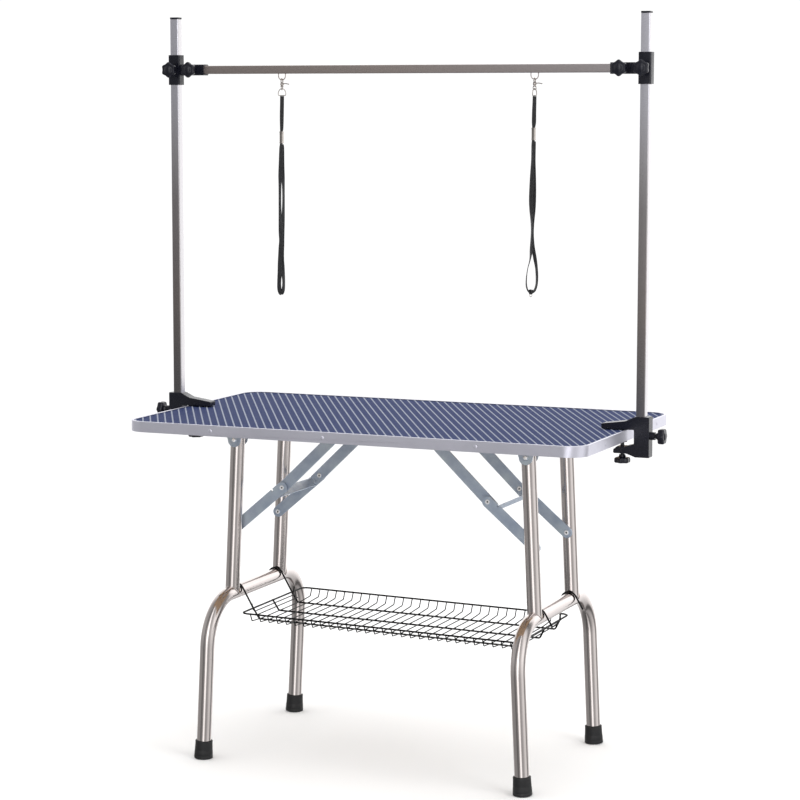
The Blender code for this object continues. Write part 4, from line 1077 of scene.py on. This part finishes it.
def build_floor():
    """White paper, left out of what the metal mirrors."""
    corners = [(sx * FLOOR_REACH, sy * FLOOR_REACH, 0) for sx, sy in
               ((-1, -1), (1, -1), (1, 1), (-1, 1))]
    mesh = mesh_from(corners, [(0, 1, 2, 3)], "floor")
    floor = bpy.data.objects.new("studio_floor", mesh)
    look = Look("floor_white", (0.97, 0.97, 0.97), 0.8)
    look.rough(look.noise(0.7, 2.0), 0.75, 0.85)
    look.shader.inputs["Specular IOR Level"].default_value = 0.0
    mesh.materials.append(look.material)
    floor.visible_glossy = False
    bpy.context.scene.collection.objects.link(floor)


def area_light(name, place, aim, size, power):
    """A rectangular lamp that the metal doesn't mirror."""
    data = bpy.data.lights.new(name, "AREA")
    data.shape = "RECTANGLE"
    data.size, data.size_y = size
    data.energy = power
    lamp = bpy.data.objects.new(name, data)
    lamp.location = place
    lamp.rotation_euler = (Vector(aim) - Vector(place)).to_track_quat("-Z", "Y").to_euler()
    lamp.visible_glossy = False
    bpy.context.scene.collection.objects.link(lamp)


# What the metal sees round the horizon: degrees from -Y towards +X, and how bright it is there.
ROOM = (
    (-180, 1.10), (-130, 0.90), (-105, 0.40), (-60, 0.36), (-45, 0.38), (-37, 0.17), (-23, 0.19),
    (-16, 0.33), (-1, 0.36), (6, 1.7), (24, 1.7), (31, 0.46), (55, 0.50), (74, 0.85),
    (90, 1.05), (108, 0.85), (122, 0.24), (137, 0.24), (146, 1.15), (170, 1.15), (180, 1.05),
)
# And how that changes from straight down (-1) to straight up (1).
ROOM_HEIGHT = ((-1.0, 0.45), (-0.5, 0.75), (-0.12, 1.17), (0.25, 1.6), (1.0, 1.0))
WHITE_STRENGTH = 1.05


def build_world():
    """White to the eye and to matt surfaces; a dim room with one softbox to the metal."""
    world = bpy.data.worlds.new("studio")
    bpy.context.scene.world = world
    world.use_nodes = True
    nodes = Nodes(world.node_tree)
    white = nodes.tree.nodes["Background"]
    white.inputs["Color"].default_value = (1, 1, 1, 1)
    white.inputs["Strength"].default_value = WHITE_STRENGTH
    way = nodes.parts("Generated")
    turn = nodes.calc("ARCTAN2", way["X"], nodes.calc("MULTIPLY", way["Y"], -1.0))
    # A ramp's colours end at 1, so both hold half the brightness and the product is doubled twice.
    ring = nodes.ramp(nodes.span(turn, -math.pi, math.pi), [
        ((degrees + 180) / 360, (bright / 2,) * 3) for degrees, bright in ROOM
    ])
    height = nodes.ramp(nodes.span(way["Z"], -1.0, 1.0), [
        ((at + 1) / 2, (bright / 2,) * 3) for at, bright in ROOM_HEIGHT
    ])
    room = nodes.node("ShaderNodeBackground")
    nodes.link(ring, room.inputs["Color"])
    nodes.link(nodes.calc("MULTIPLY", height, 4.0), room.inputs["Strength"])
    seen = nodes.node("ShaderNodeLightPath")
    mix = nodes.node("ShaderNodeMixShader")
    nodes.link(seen.outputs["Is Glossy Ray"], mix.inputs["Fac"])
    nodes.link(white.outputs[0], mix.inputs[1])
    nodes.link(room.outputs[0], mix.inputs[2])
    nodes.link(mix.outputs[0], nodes.tree.nodes["World Output"].inputs["Surface"])


build_floor()
build_world()
area_light("key_right", (4.2, -1.6, 2.8), (0, 0, 0.7), (2.5, 2.5), 60)
area_light("top_soft", (0.0, 0.4, 4.2), (0, 0, 0), (3.0, 3.0), 50)
bpy.context.scene.view_settings.view_transform = "Standard"
